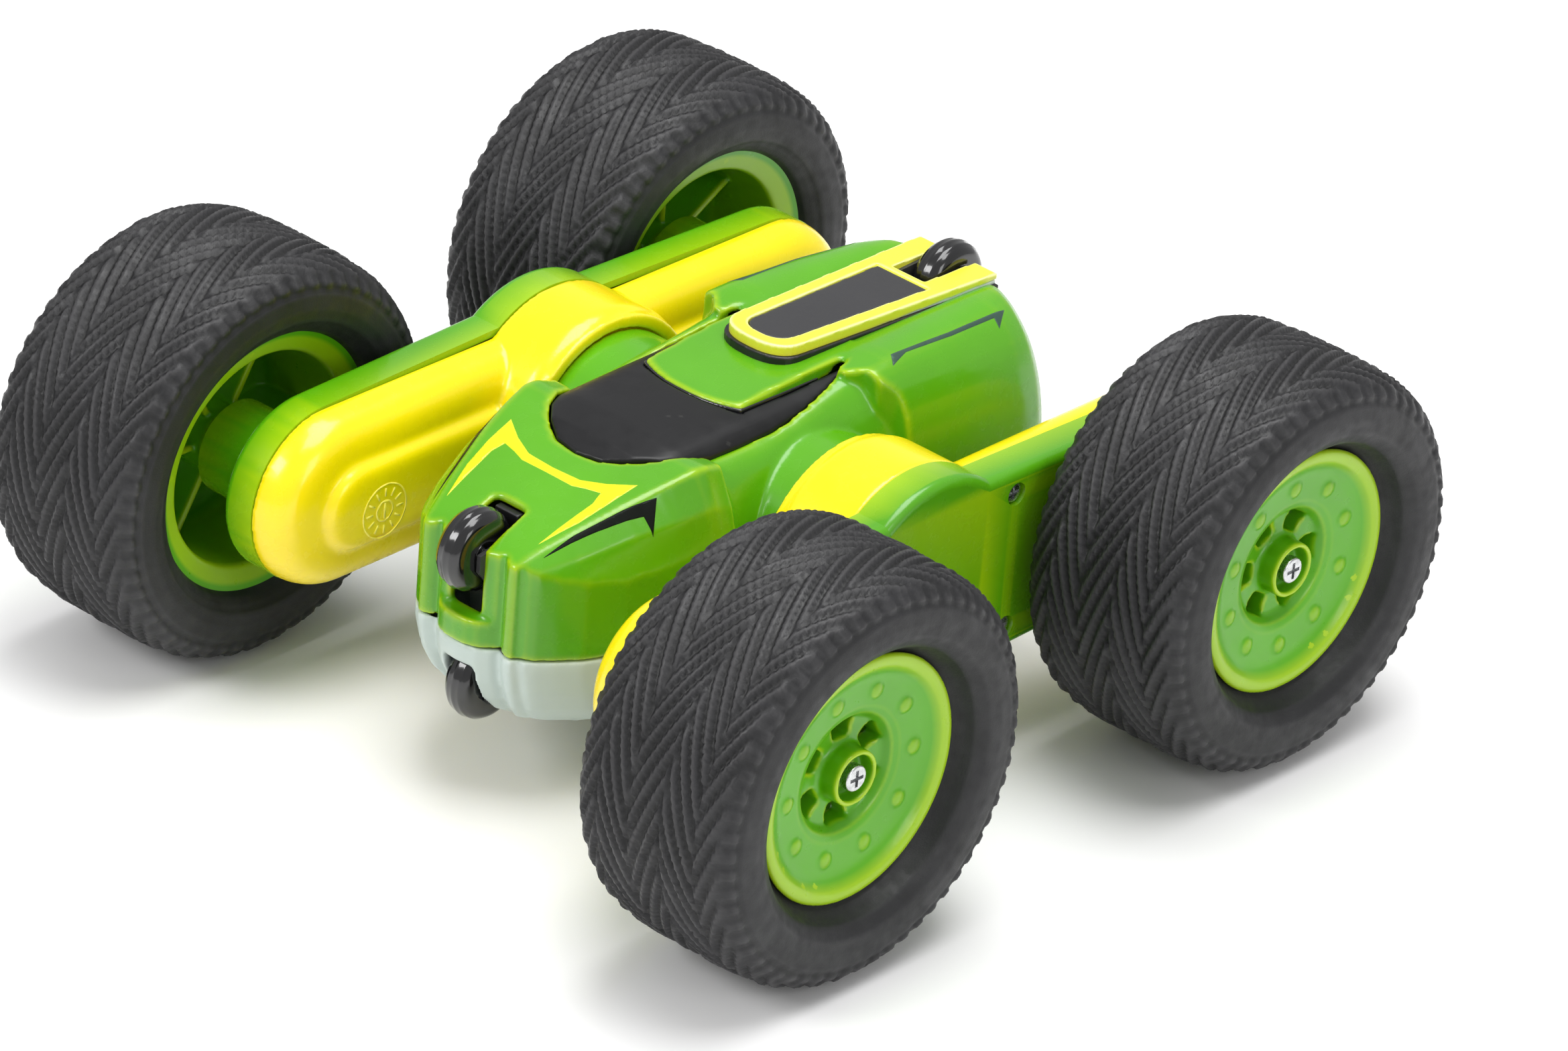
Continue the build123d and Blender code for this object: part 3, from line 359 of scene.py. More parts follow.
TRIM_SILVER = plastic("trim_silver", (0.62, 0.68, 0.66), (0.9, 0.92, 0.9), 0.2, coat=0.3)
GEAR_NYLON = plastic("gear_nylon", (0.66, 0.65, 0.60), (0.85, 0.85, 0.80), 0.4)
BATTERY_WRAP = plastic("battery_wrap", (0.02, 0.07, 0.28), (0.08, 0.16, 0.45), 0.25, coat=0.3)
BOARD_GREEN = plastic("board_green", (0.008, 0.10, 0.04), (0.05, 0.25, 0.12), 0.35)
STEEL = metal("steel", (0.66, 0.67, 0.68), 0.25)
BRONZE = metal("bronze", (0.62, 0.42, 0.20), 0.35)
MOTOR_CAN = metal("motor_can", (0.52, 0.53, 0.55), 0.32)
TYRE_RUBBER = rubber("tyre_rubber")
FLASH_BLACK = plastic("flash_black", (0.002, 0.004, 0.002), (0.004, 0.008, 0.004), 0.4, shine=0.15)
CHEVRON_YELLOW = plastic("chevron_yellow", (0.72, 0.78, 0.0), (0.8, 0.86, 0.05), 0.3)
STRIPE_GREY = plastic("stripe_grey", (0.035, 0.075, 0.055), (0.06, 0.12, 0.09), 0.35, shine=0.3)

SLOT_MATERIALS = {
    "body_green": ARM_GREEN, "lower_silver": LOWER_SILVER, "canopy_black": CANOPY_BLACK,
    "spine_yellow": SPINE_YELLOW, "spine_graphite": SPINE_GRAPHITE, "bracket_black": BRACKET_BLACK,
    "roller_black": ROLLER_BLACK, "steel": STEEL, "battery_wrap": BATTERY_WRAP,
    "board_green": BOARD_GREEN, "arm_yellow": ARM_YELLOW, "bronze": BRONZE, "motor_can": MOTOR_CAN,
    "tyre_rubber": TYRE_RUBBER, "rim_lime": RIM_LIME, "gear_nylon": GEAR_NYLON,
}
for entry in frame["record"]["subparts"]:
    node = frame["nodes"][entry["node"]]
    node.data.materials.clear()
    node.data.materials.append(SLOT_MATERIALS[entry["material_slot"]])


# ---------------------------------------------------------------- body outlines
def rounded(line, times):
    """Open line with its corners cut the given number of times; its ends stay."""
    line = [np.array(p, float) for p in line]
    for _ in range(times):
        inner = []
        for a, b in zip(line[:-1], line[1:]):
            inner += [a + 0.25 * (b - a), a + 0.75 * (b - a)]
        line = [line[0], *inner[1:-1], line[-1]]
    return [tuple(p) for p in line]


def station_rings(stations, step, inset=0.0, floor=None, rounding=0):
    """Full sections of the body, evenly spaced along Y, from half sections at a few stations."""
    places = np.array([y for y, _ in stations])
    halves = np.array([half for _, half in stations], float)
    count = max(2, int(round((places[-1] - places[0]) / step)) + 1)
    rings = []
    for y in np.linspace(places[0], places[-1], count):
        half = np.stack([[np.interp(y, places, halves[:, k, c]) for c in (0, 1)]
                         for k in range(halves.shape[1])])
        if inset:
            half = half - np.stack([np.where(half[:, 0] > 0, inset, 0), np.full(len(half), inset)], 1)
            half[:, 0] = np.maximum(half[:, 0], 0)
        if floor is not None:
            half[-1, 1] = floor
        outline = mirrored_half(rounded(half, rounding))
        rings.append([(x, y, z) for x, z in outline])
    return rings


NOSE_STATIONS = [
    (-84.0, [(0, 57.4), (12.6, 57.2), (14.0, 55.6), (17.0, 52.0), (18.0, 46.0), (18.0, 34.0)]),
    (-80.0, [(0, 60.2), (13.0, 60.0), (15.0, 58.4), (19.0, 53.5), (20.0, 47.0), (20.0, 34.0)]),
    (-74.0, [(0, 63.6), (14.6, 63.2), (17.6, 60.6), (21.6, 54.5), (22.6, 47.5), (22.4, 34.0)]),
    (-66.0, [(0, 66.9), (17.4, 66.4), (21.6, 62.6), (25.2, 55.5), (26.0, 48.0), (25.6, 34.0)]),
    (-54.0, [(0, 70.8), (21.2, 70.6), (25.8, 65.2), (28.8, 57.0), (29.6, 49.0), (29.4, 34.0)]),
    (-44.0, [(0, 73.0), (23.9, 73.4), (28.4, 66.4), (30.6, 58.0), (31.2, 49.0), (31.0, 34.0)]),
    (-35.5, [(0, 74.0), (25.6, 75.3), (29.6, 67.2), (31.2, 58.6), (31.8, 49.0), (31.6, 34.0)]),
    (-28.0, [(0, 72.6), (24.6, 73.0), (28.8, 64.6), (31.0, 57.0), (31.6, 48.0), (31.4, 34.0)]),
]
DECK_STATIONS = [
    (-40.0, [(0, 72.2), (18.6, 72.0), (23.8, 69.4), (28.4, 61.0), (29.8, 51.0), (29.8, 34.0)]),
    (-8.0, [(0, 73.4), (20.0, 73.0), (24.6, 70.0), (28.8, 61.0), (30.0, 51.0), (30.0, 34.0)]),
    (12.0, [(0, 77.0), (18.4, 77.0), (23.8, 72.6), (29.2, 62.0), (30.2, 51.0), (30.2, 34.0)]),
    (26.0, [(0, 78.6), (18.6, 79.8), (24.0, 75.4), (29.6, 63.0), (30.6, 51.0), (30.6, 34.0)]),
]
TAIL_STATIONS = [
    (12.0, [(0, 77.2), (9.0, 77.4), (12.6, 77.6), (18.6, 77.9), (25.4, 79.7), (30.4, 72.6), (31.9, 59.0),
            (31.6, 34.0)]),
    (25.0, [(0, 77.8), (9.4, 78.2), (12.8, 79.6), (19.4, 80.6), (25.2, 79.8), (30.6, 71.8), (32.0, 59.0),
            (31.8, 34.0)]),
    (45.0, [(0, 78.0), (10.2, 78.3), (13.0, 79.8), (18.8, 80.4), (24.2, 79.0), (30.0, 71.2), (32.0, 58.0),
            (31.8, 34.0)]),
    (63.0, [(0, 78.0), (10.6, 78.2), (13.0, 79.6), (17.2, 79.9), (22.4, 77.8), (28.6, 70.0), (31.9, 56.0),
            (31.5, 34.0)]),
    (69.0, [(0, 78.0), (10.6, 78.2), (13.0, 79.4), (15.6, 79.4), (20.4, 76.9), (27.2, 69.0), (31.2, 55.0),
            (30.8, 34.0)]),
    (72.6, [(0, 77.0), (8.0, 77.2), (10.4, 77.6), (12.4, 77.0), (17.8, 73.6), (24.0, 66.4), (28.3, 52.6),
            (28.0, 34.0)]),
    (73.6, [(0, 75.6), (7.0, 75.6), (9.0, 75.8), (10.8, 75.0), (16.0, 71.6), (21.8, 65.0), (26.2, 52.0),
            (26.2, 34.0)]),
]
# left half of the plan of the nose: two upright flutes, then the side panel
NOSE_PLAN = [
    (0, -78.4), (5.2, -78.3), (8.4, -77.6), (9.3, -76.0), (10.4, -77.4), (12.2, -78.4), (13.7, -78.2),
    (14.8, -76.4), (15.9, -76.3), (17.6, -74.9), (20.6, -71.2), (24.0, -66.4), (27.6, -58.0), (30.2, -48.0),
    (31.8, -35.0), (31.8, -26.0), (0, -26.0),
]
BAND_PLAN = [(0, -81.5), (3.0, -81.2), (5.6, -80.2), (7.6, -78.4), (8.9, -75.5), (8.9, -70.0), (0, -70.0)]
BAND_TOP_Z = 45.2
# left half of the front edge of the tail in plan: two slanting steps out to the fender
FENDER_FRONT = [(0, 15.0), (19.6, 15.0), (22.6, 18.0), (26.0, 18.8), (28.4, 22.4), (34.0, 26.0)]
TAB_FRONT_Y = -14.8
TAB_HALF = 14.2
# top of the roof tab as (y, z), and the top of the dark edge under it
TAB_LINE = [(-30, 76.4), (-14.8, 76.9), (0.0, 78.2), (10.0, 78.8), (30.0, 79.2)]
TAB_EDGE_TOP_Z = 76.4
TAB_BASE_Z = 71.3


def inset_plan(half, wall):
    """Half plan moved inwards by about the wall."""
    moved = [(max(x - wall, 0) if x > 0 else 0, y) for x, y in half]
    return [(x, y + wall if y < -30 else y) for x, y in moved]


def tab_plan(grow):
    """Left half of the plan of the roof tab, with its bowed front edge."""
    half = TAB_HALF + grow
    steps = np.linspace(0, 1, 9)
    bow = [(half * t, TAB_FRONT_Y - grow + 3.2 * t ** 2.4) for t in steps]
    return bow + [(half + 0.2, 0.0), (half + 0.4, 24.0), (0, 24.0)]


def canopy_plan(grow):
    """Left half of the plan of the canopy: bowed front, widest over the pivot, narrow rear tips."""
    knots = np.array([(0, -47.0), (6.5, -45.9), (12.0, -42.4), (16.2, -38.0), (18.6, -33.0), (19.8, -26.0),
                      (20.1, -18.0), (20.0, -8.0), (19.2, 2.0), (17.8, 11.0), (15.4, 20.6)])
    centre = np.array([0, -16.0])
    out = knots - centre
    grown = knots + grow * out / np.linalg.norm(out, axis=1)[:, None]
    grown[0, 0] = 0
    return [tuple(p) for p in grown] + [(0, grown[-1, 1])]


def body_solid(name, inset=0.0):
    """Closed outer form of the upper shell, or its inner form when inset by the wall."""
    floor = SEAM_Z - 2 if inset else None
    nose = loft(name, station_rings(NOSE_STATIONS, 3.0, inset, floor))
    plan = inset_plan(NOSE_PLAN, inset) if inset else NOSE_PLAN
    common(nose, prism("nose_plan", mirrored_half(plan), 30, 90))
    deck = loft("deck", station_rings(DECK_STATIONS, 6.0, inset, floor, 2))
    tail = loft("tail", station_rings(TAIL_STATIONS, 3.0, inset, floor, 2))
    rear_y = TAIL_STATIONS[-1][0] - inset
    fender = [(x, y + inset) for x, y in FENDER_FRONT] + [(34.0, rear_y), (0, rear_y)]
    common(tail, prism("fender_plan", mirrored_half(fender), 30, 90))
    return union(nose, deck, tail)


# ---------------------------------------------------------------- upper shell
def roller_slots():
    """Openings that the two upper rollers stand out of."""
    front = block("front_slot", (-SLOT_HALF, -90.0, 45.6), (SLOT_HALF, -65.6, 80.0))
    rear = block("rear_slot", (-SLOT_HALF, 55.8, 64.0), (SLOT_HALF, 80.0, 88.0))
    return front, rear


def bosses(name, radius, reach):
    """Round side bosses on the pivot axis."""
    return side_prism(name, disc_outline(radius, (0, PIVOT_Z)), -reach, reach)


def make_upper_shell():
    shell = body_solid("upper_shell_form")
    union(shell, prism("band", mirrored_half(BAND_PLAN), SEAM_Z - 4, BAND_TOP_Z))
    tab = prism("tab", mirrored_half(tab_plan(0)), TAB_BASE_Z - 2, 90)
    union(shell, common(tab, side_prism("tab_top", [(-30, 60), *TAB_LINE, (30, 60)], -30, 30)))
    union(shell, bosses("boss", BOSS_R, BOSS_X))
    seat = prism("seat", mirrored_half(canopy_plan(0.35)), TAB_BASE_Z, 90)
    cut(seat, prism("tab_keep", mirrored_half(tab_plan(0)), 60, 95))
    cut(shell, seat)
    cut(shell, body_solid("room", WALL), bosses("boss_room", BOSS_R - WALL, BOSS_X - WALL))
    cut(shell, *roller_slots())
    cut(shell, bosses("pivot_hole", PIVOT_TUBE_R, BOSS_X + 1))
    cut(shell, block("below", (-60, -100, 0), (60, 100, SEAM_Z + 0.12)))
    soften(shell, 0.6, 9)
    return finish_piece(shell, "upper_body_shell", BODY_GREEN, "body", ["upper_shell"])


upper = make_upper_shell()


# ---------------------------------------------------------------- printed marks on the upper shell
# outlines in plan on the left side; each is printed again, mirrored, on the right
CHEVRON = [(0, -53.8), (7.6, -53.4), (13.2, -51.0), (18.8, -47.6), (18.0, -55.0), (16.6, -62.6),
           (13.6, -71.4), (14.4, -62.8), (15.0, -57.0), (14.2, -53.8), (10.6, -54.6), (7.4, -55.6),
           (0, -55.6)]
FLASH = [(16.4, -72.5), (18.0, -65.4), (20.2, -58.4), (22.2, -52.0), (23.9, -47.0), (27.0, -50.6),
         (24.3, -51.0), (22.6, -55.4), (20.2, -61.6)]
STRIPE = [(22.1, 26.6), (22.2, 45.0), (20.8, 64.6), (24.0, 59.8), (22.0, 60.0), (23.1, 45.0), (23.0, 30.4),
          (24.7, 24.6)]
PRINT_THICKNESS = 0.05


def printed(name, outline, material, across):
    """Thin raised print: the shell under the outline, moved out by the thickness of the print."""
    if across:
        inks = [mirrored_half(outline)]
    else:
        inks = [outline, [(-x, y) for x, y in reversed(outline)]]
    stamp = prism("stamp", inks[0], 55, 90)
    for ink in inks[1:]:
        union(stamp, prism("stamp", ink, 55, 90))
    copy = bpy.data.objects.new("print", upper.data.copy())
    bpy.context.scene.collection.objects.link(copy)
    common(stamp, copy)
    push = stamp.modifiers.new("push", "DISPLACE")
    push.direction = "NORMAL"
    push.mid_level = 0
    push.strength = PRINT_THICKNESS * MM
    bake_modifiers(stamp)
    stamp.data.shade_smooth()
    return finish_piece(stamp, name, material, "body")


printed("hood_chevron", CHEVRON, CHEVRON_YELLOW, True)
printed("hood_flashes", FLASH, FLASH_BLACK, False)
printed("tail_stripes", STRIPE, STRIPE_GREY, False)


# ---------------------------------------------------------------- canopy, roof tab edge and spine
# crown of the canopy: height at the middle of its front and rear, and how it falls to the sides
CANOPY_LINE = [(-47.4, 72.2), (-42.0, 74.6), (-34.0, 75.9), (-14.0, 76.4), (2.0, 76.6), (20.0, 77.4)]


def canopy_height(x, y):
    ys, zs = zip(*CANOPY_LINE)
    crown = np.interp(y, ys, zs)
    return crown - 0.0025 * x ** 2 - 2.8 * (x / 20) ** 8


def make_canopy():
    """Smoked canopy with a dropped edge all round and sharp rear tips."""
    rings = []
    for y in np.linspace(-49, 21, 50):
        xs = np.linspace(-22, 22, 45)
        top = [(x, y, canopy_height(x, y)) for x in xs]
        rings.append([(22, y, 66.0), (-22, y, 66.0)][::-1] + top)
    crown = loft("canopy_form", rings)
    common(crown, prism("canopy_plan", mirrored_half(canopy_plan(0.05)), TAB_BASE_Z + 0.05, 90))
    cut(crown, prism("tab_gap", mirrored_half(tab_plan(0.3)), 60, 95))
    soften(crown, 0.42, 2)
    return finish_piece(crown, "smoked_canopy", CANOPY_BLACK, "body", ["canopy"])


make_canopy()

SPINE_FRONT = (5.0, 82.8)
SPINE_REAR = (72.4, 80.6)
SPINE_HALF = (9.6, 11.6)
INSERT_REAR_Y = 54.0
ROLLER_GAP_Y = 56.0


def spine_plan(inset, rear_y):
    """Left half of the plan of the spine: round front, slightly wider rear."""
    front_y = SPINE_FRONT[0] + inset
    length = SPINE_REAR[0] - SPINE_FRONT[0]
    bow = []
    for k in range(9):
        angle = math.pi / 2 * k / 8
        bow.append(((SPINE_HALF[0] - inset) * math.sin(angle) ** 0.8,
                    front_y + (7.5 - inset * 0.6) * (1 - math.cos(angle) ** 0.8)))
    rear_half = SPINE_HALF[0] + (SPINE_HALF[1] - SPINE_HALF[0]) * (rear_y - SPINE_FRONT[0]) / length
    return bow + [(rear_half - inset, rear_y), (0, rear_y)]


def spine_slab(name, inset, rear_y, base, drop):
    """Slab on the spine's plan under its sloping top, which is lowered by drop."""
    slab = prism(name, mirrored_half(spine_plan(inset, rear_y)), base, 90)
    (y0, z0), (y1, z1) = SPINE_FRONT, SPINE_REAR
    slope = (z1 - z0) / (y1 - y0)
    over = side_prism("over", [(-10, z0 - drop + slope * (-10 - y0)), (100, z0 - drop + slope * (100 - y0)),
                               (100, 100), (-10, 100)], -20, 20)
    return cut(slab, over)


def make_spine():
    """Yellow border, silver skirt, dark band and dark insert of the spine, open at the rear round the roller;
    the dark band round the border's foot is painted shade for the gap there.
    """
    gap = ((-SLOT_HALF - 0.4, ROLLER_GAP_Y, 70), (SLOT_HALF + 0.4, 80, 90))
    border = spine_slab("border", 0, SPINE_REAR[0], 79.1, 0)
    cut(border, spine_slab("bed", 3.5, INSERT_REAR_Y + 0.3, 80.4, -5), block("roller_gap", *gap))
    soften(border, 0.3, 4)
    finish_piece(border, "spine_border", SPINE_YELLOW, "body", ["spine_cover"])
    skirt = spine_slab("skirt", 0.1, SPINE_REAR[0] - 0.4, 78.0, 1.5)
    cut(skirt, spine_slab("skirt_room", 1.3, SPINE_REAR[0], 77, -5), block("roller_gap", *gap))
    soften(skirt, 0.3, 2)
    finish_piece(skirt, "spine_skirt", TRIM_SILVER, "body")
    # painted shade: a black band round the foot of the border stands in for the shadowed gap between spine
    # and tail
    gap_shade = spine_slab("gap_shade", -0.8, SPINE_REAR[0] - 0.2, 77.0, 2.4)
    cut(gap_shade, spine_slab("gap_shade_room", 1.0, SPINE_REAR[0], 76, -5), block("roller_gap", *gap))
    soften(gap_shade, 0.3, 2)
    finish_piece(gap_shade, "spine_gap_shade", BRACKET_BLACK, "body")
    insert = spine_slab("insert", 3.7, INSERT_REAR_Y, 80.3, 0.25)
    soften(insert, 0.3, 3)
    finish_piece(insert, "spine_panel", SPINE_GRAPHITE, "body", ["spine_insert"])


make_spine()


# ---------------------------------------------------------------- guide rollers
def make_rollers():
    """Barrel rollers with three raised rings round the tread."""
    section = []
    for k in range(33):
        angle = math.pi * (k / 32 - 0.5)
        x = 3.8 * math.sin(angle)
        r = 5.9 + 3.45 * math.cos(angle) ** 0.75
        ridge = sum(0.15 * math.exp(-((x - place) / 0.28) ** 2) for place in (-1.7, 0, 1.7))
        section.append((x, r + ridge * (abs(x) < 2.6)))
    section += [(3.7, 3.4), (3.0, 1.4), (-3.0, 1.4), (-3.7, 3.4)]
    form = turned("roller_form", section, 96)
    for place in ("front_upper", "front_lower", "rear_upper", "rear_lower"):
        low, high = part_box(f"{place}_roller")
        roller = bpy.data.objects.new(f"{place}_ringed_roller", form.data)
        bpy.context.scene.collection.objects.link(roller)
        roller.matrix_world = Matrix.Translation((low + high) / 2)
        finish_piece(roller, roller.name, ROLLER_BLACK, f"{place}_roller", [f"{place}_roller"])
    bpy.data.objects.remove(form)


make_rollers()


def make_slot_stop():
    """Dark stop at the inner end of the front roller slot."""
    stop = soften(block("stop", (-3.4, -67.3, 58.6), (3.4, -65.4, 65.2)), 0.25, 4)
    finish_piece(stop, "front_slot_stop", BRACKET_BLACK, "body")


def make_tab_edge():
    """Glossy dark edge under the roof tab."""
    edge = prism("tab_edge", mirrored_half(tab_plan(0.25)), 74.6, TAB_EDGE_TOP_Z)
    cut(edge, prism("tab_room", mirrored_half(tab_plan(-1.0)), 70, 90))
    cut(edge, block("behind", (-30, 12, 70), (30, 40, 90)))
    finish_piece(soften(edge, 0.3, 2), "roof_tab_edge", ROLLER_BLACK, "body")


make_slot_stop()
make_tab_edge()


# ---------------------------------------------------------------- lower shell
LOWER_PLAN = [
    (0, -80.9), (5.2, -80.0), (8.2, -78.2), (9.3, -75.9), (10.4, -77.3), (12.2, -78.4), (13.9, -78.0),
    (15.0, -76.2), (16.2, -76.2), (17.8, -74.7), (20.6, -71.2), (24.0, -66.4), (27.6, -58.0), (30.4, -48.0),
    (31.6, -35.0), (31.8, 45.0), (31.6, 66.0), (29.8, 70.4), (26.4, 73.0), (0, 73.4),
]
# height and inward shift of each level of the lower shell: sides, front and rear
LOWER_LEVELS = [
    (SEAM_Z + 2, 0, 0, 0), (36.0, 0.0, 0.0, 0.0), (30.0, 0.3, 1.4, 1.0), (25.0, 1.2, 3.8, 2.8),
    (21.0, 2.9, 7.2, 5.4), (18.6, 5.0, 10.6, 7.6), (17.3, 7.6, 14.2, 9.6), (FLOOR_Z, 9.4, 16.6, 11.0),
]


CASE_POSTS = [(14.0, -57.0), (22.0, 49.0)]


def lower_rings(wall):
    """Outlines of the lower shell at each level, or of the room inside its wall."""
    rings = []
    for z, side, front, rear in LOWER_LEVELS:
        half = []
        for x, y in LOWER_PLAN:
            fade = max(0.0, min(1.0, (-y - 34) / 30))
            back = max(0.0, min(1.0, (y - 44) / 24))
            moved_x = max(x - (side + wall) * min(1, x / 14), 0) if x > 0 else 0
            moved_y = y + (front + wall) * fade - (rear + wall) * back
            half.append((moved_x, moved_y))
        rings.append([(x, y, z + wall) for x, y in mirrored_half(half)])
    return rings


def make_lower_shell():
    shell = loft("lower_form", lower_rings(0))
    union(shell, bosses("boss", BOSS_R, BOSS_X))
    cut(shell, loft("lower_room", lower_rings(WALL)), bosses("boss_room", BOSS_R - WALL, BOSS_X - WALL))
    # space for the front roller below the lip, and for the rear roller
    front = side_prism("front_slot", [(-90, 33.4), (-70, 33.4), (-61.6, 30.0), (-61.6, 10), (-90, 10)],
                       -SLOT_HALF, SLOT_HALF)
    cut(shell, front, block("rear_slot", (-SLOT_HALF, 55.8, 10.0), (SLOT_HALF, 80.0, 33.0)))
    cut(shell, bosses("pivot_hole", PIVOT_TUBE_R, BOSS_X + 1))
    gap = 0.3
    door_hole = block("door_hole", (DOOR_LOW[0] - gap, DOOR_LOW[1] - gap, 10),
                      (DOOR_HIGH[0] + gap, DOOR_HIGH[1] + gap, FLOOR_Z + 6))
    switch_hole = block("switch_hole", (-2.3, SWITCH_LOW[1] + 1.7, 10),
                        (2.3, SWITCH_HIGH[1] + 1.3, FLOOR_Z + 2.2))
    cut(shell, door_hole, switch_hole)
    # posts for the case screws, with the wells of their heads
    for x, y in CASE_POSTS:
        for side in (1, -1):
            post = prism("post", disc_outline(3.4, (side * x, y), 32), FLOOR_Z + 1.2, SEAM_Z - 1)
            union(shell, post)
            cut(shell, prism("well", disc_outline(2.7, (side * x, y), 32), 10, FLOOR_Z + 2.4))
    cut(shell, block("above", (-60, -100, SEAM_Z - 0.12), (60, 100, 90)))
    soften(shell, 0.6, 9)
    return finish_piece(shell, "lower_body_shell", LOWER_SILVER, "body", ["lower_shell"])


make_lower_shell()


# ---------------------------------------------------------------- tyres
TREAD_DEPTH = 1.28
LUG_COUNT = 38
TREAD_BANDS = 5
SHOULDER_TEETH = 60
TYRE_STEPS = 456


def tyre_profile():
    """Closed section of the tyre as (x from its middle, radius), evenly divided."""
    half = TYRE_HALF_W
    bead = 26.5
    corners = [
        (-13.8, bead), (-15.6, 29.0), (-half + 3.0, 31.0), (-half + 0.5, 34.0), (-half + 0.1, 37.0),
        (-half + 0.5, 40.4), (-half + 1.5, 42.8), (-half + 3.4, 44.6), (-half + 6.8, 45.5), (-14.0, 45.9),
        (-7.0, 46.15), (0.0, 46.2), (7.0, 46.15), (14.0, 45.9), (half - 6.8, 45.5), (half - 3.4, 44.6),
        (half - 1.5, 42.8), (half - 0.5, 40.4), (half - 0.1, 37.0), (half - 0.4, 33.6), (half - 2.4, 31.4),
        (half - 4.6, 30.4), (half - 6.6, 29.2), (13.8, bead),
    ]
    line = np.array(corners)
    lengths = np.concatenate([[0], np.cumsum(np.linalg.norm(np.diff(line, axis=0), axis=1))])
    places = np.linspace(0, lengths[-1], 124)
    return np.stack([np.interp(places, lengths, line[:, c]) for c in (0, 1)], 1)


def smooth_step(low, high, value):
    t = np.clip((value - low) / (high - low), 0, 1)
    return t * t * (3 - 2 * t)


def tread_height(angle, x):
    """Tread above the carcass: long slanted lugs that turn back from one band to the next."""
    place = (x / TYRE_HALF_W + 1) / 2 * TREAD_BANDS
    band = np.floor(place)
    within = place - band
    zigzag = np.where(band % 2 == 0, within, 1 - within)
    arc = angle * LUG_COUNT / (2 * math.pi) + zigzag * 3.1 + 0.31 * band
    number = np.floor(arc)
    saw = np.abs((arc - number) * 2 - 1)
    lug = smooth_step(0.30, 0.62, saw)
    wave = 0.5 + 0.5 * np.sin(2.1 * number + 1.7 * band + 3.0 * within)
    gap = smooth_step(0.0, 0.10, np.minimum(within, 1 - within))
    return lug * (0.72 + 0.28 * wave) * (0.45 + 0.55 * gap)


def make_tyre_mesh():
    profile = tyre_profile()
    rings = []
    for k in range(TYRE_STEPS):
        angle = 2 * math.pi * k / TYRE_STEPS
        x, radius = profile[:, 0], profile[:, 1].copy()
        tread = smooth_step(43.6, 45.4, radius)
        lug = tread_height(angle, x) * tread
        shoulder = smooth_step(40.5, 43.0, radius) * (1 - tread)
        turn = (angle * SHOULDER_TEETH / (2 * math.pi)) % 1.0
        tooth = smooth_step(0.3, 0.6, np.abs(turn * 2 - 1))
        outward = np.sign(x) * 0.55 * shoulder * tooth
        radius += TREAD_DEPTH * lug
        groove = 0.35 * np.exp(-((radius - 41.4) / 0.5) ** 2) + 0.3 * np.exp(-((radius - 33.4) / 0.6) ** 2)
        x = x + outward - np.sign(x) * groove * (np.abs(x) > 18)
        x = np.clip(x, -TYRE_HALF_W, TYRE_HALF_W)
        rings.append(np.stack([x, radius * math.cos(angle), radius * math.sin(angle)], 1))
    return loft("tyre_form", rings, closed=True)


def place_wheel_piece(mesh, name, side, end, material, node):
    """One of four copies: the right wheels are the left one turned half round."""
    thing = bpy.data.objects.new(name, mesh)
    bpy.context.scene.collection.objects.link(thing)
    turn = Matrix.Rotation(0 if side == "left" else math.pi, 4, "Z")
    spin = Matrix.Rotation({"front": 0, "rear": math.pi / 2}[end], 4, "X")
    spot = Matrix.Translation((SIDES[side] * WHEEL_X * MM, ENDS[end] * AXLE_Y * MM, PIVOT_Z * MM))
    thing.matrix_world = spot @ turn @ spin
    mesh.materials.clear()
    mesh.materials.append(material)
    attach(thing, f"{side}_{end}_wheel")
    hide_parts(node)
    return thing


tyre_form = make_tyre_mesh()
for side in SIDES:
    for end in ENDS:
        place_wheel_piece(tyre_form.data, f"{side}_{end}_tread_tyre", side, end, TYRE_RUBBER,
                          f"{side}_{end}_tyre")
bpy.data.objects.remove(tyre_form)


# ---------------------------------------------------------------- rims
# section of the rim as (x outwards from the wheel's middle, radius), from the hub's inner end round the
# inner recess, over both flanges and down the shallow dish to the hub ring
RIM_SECTION = [
    (-6.5, 2.6), (-6.5, 7.2), (-6.0, 7.6), (4.5, 7.8), (6.0, 9.4), (7.6, 21.0), (6.4, 23.4), (3.0, 24.4),
    (-15.6, 24.8), (-16.4, 25.4), (-19.4, 34.2), (-19.4, 34.9), (-18.8, 35.3), (-18.2, 35.2), (-17.6, 34.4),
    (-14.2, 27.2), (-12.0, 26.4), (13.6, 26.4), (14.6, 27.0), (15.4, 28.2), (16.2, 28.3), (16.8, 27.7),
    (16.9, 26.6), (16.5, 25.4), (15.4, 24.2), (14.7, 23.0), (14.2, 21.4), (14.0, 19.0), (13.7, 15.4),
    (13.0, 13.6), (11.0, 12.2), (10.6, 10.0), (10.8, 6.9), (11.4, 6.4), (15.6, 6.3), (15.95, 6.1),
    (15.95, 5.5), (15.6, 5.2), (12.4, 5.1), (12.0, 4.8), (12.0, 2.6),
]
BUMP_RING_R = 19.2
BUMP_COUNT = 10
WINDOW_COUNT = 6


def dome(name, centre, radius, height):
    """Low round bump that stands out of the rim along X, on a buried base."""
    rings = [[(centre[0] - 1.2, centre[1] + radius * y, centre[2] + radius * z)
              for y, z in disc_outline(1.0, count=24)]]
    for lift in (0.0, 0.35, 0.65, 0.88, 0.98):
        shrink = math.sqrt(1 - lift ** 2)
        rings.append([(centre[0] + height * lift, centre[1] + radius * shrink * y,
                       centre[2] + radius * shrink * z) for y, z in disc_outline(1.0, count=24)])
    return loft(name, rings)


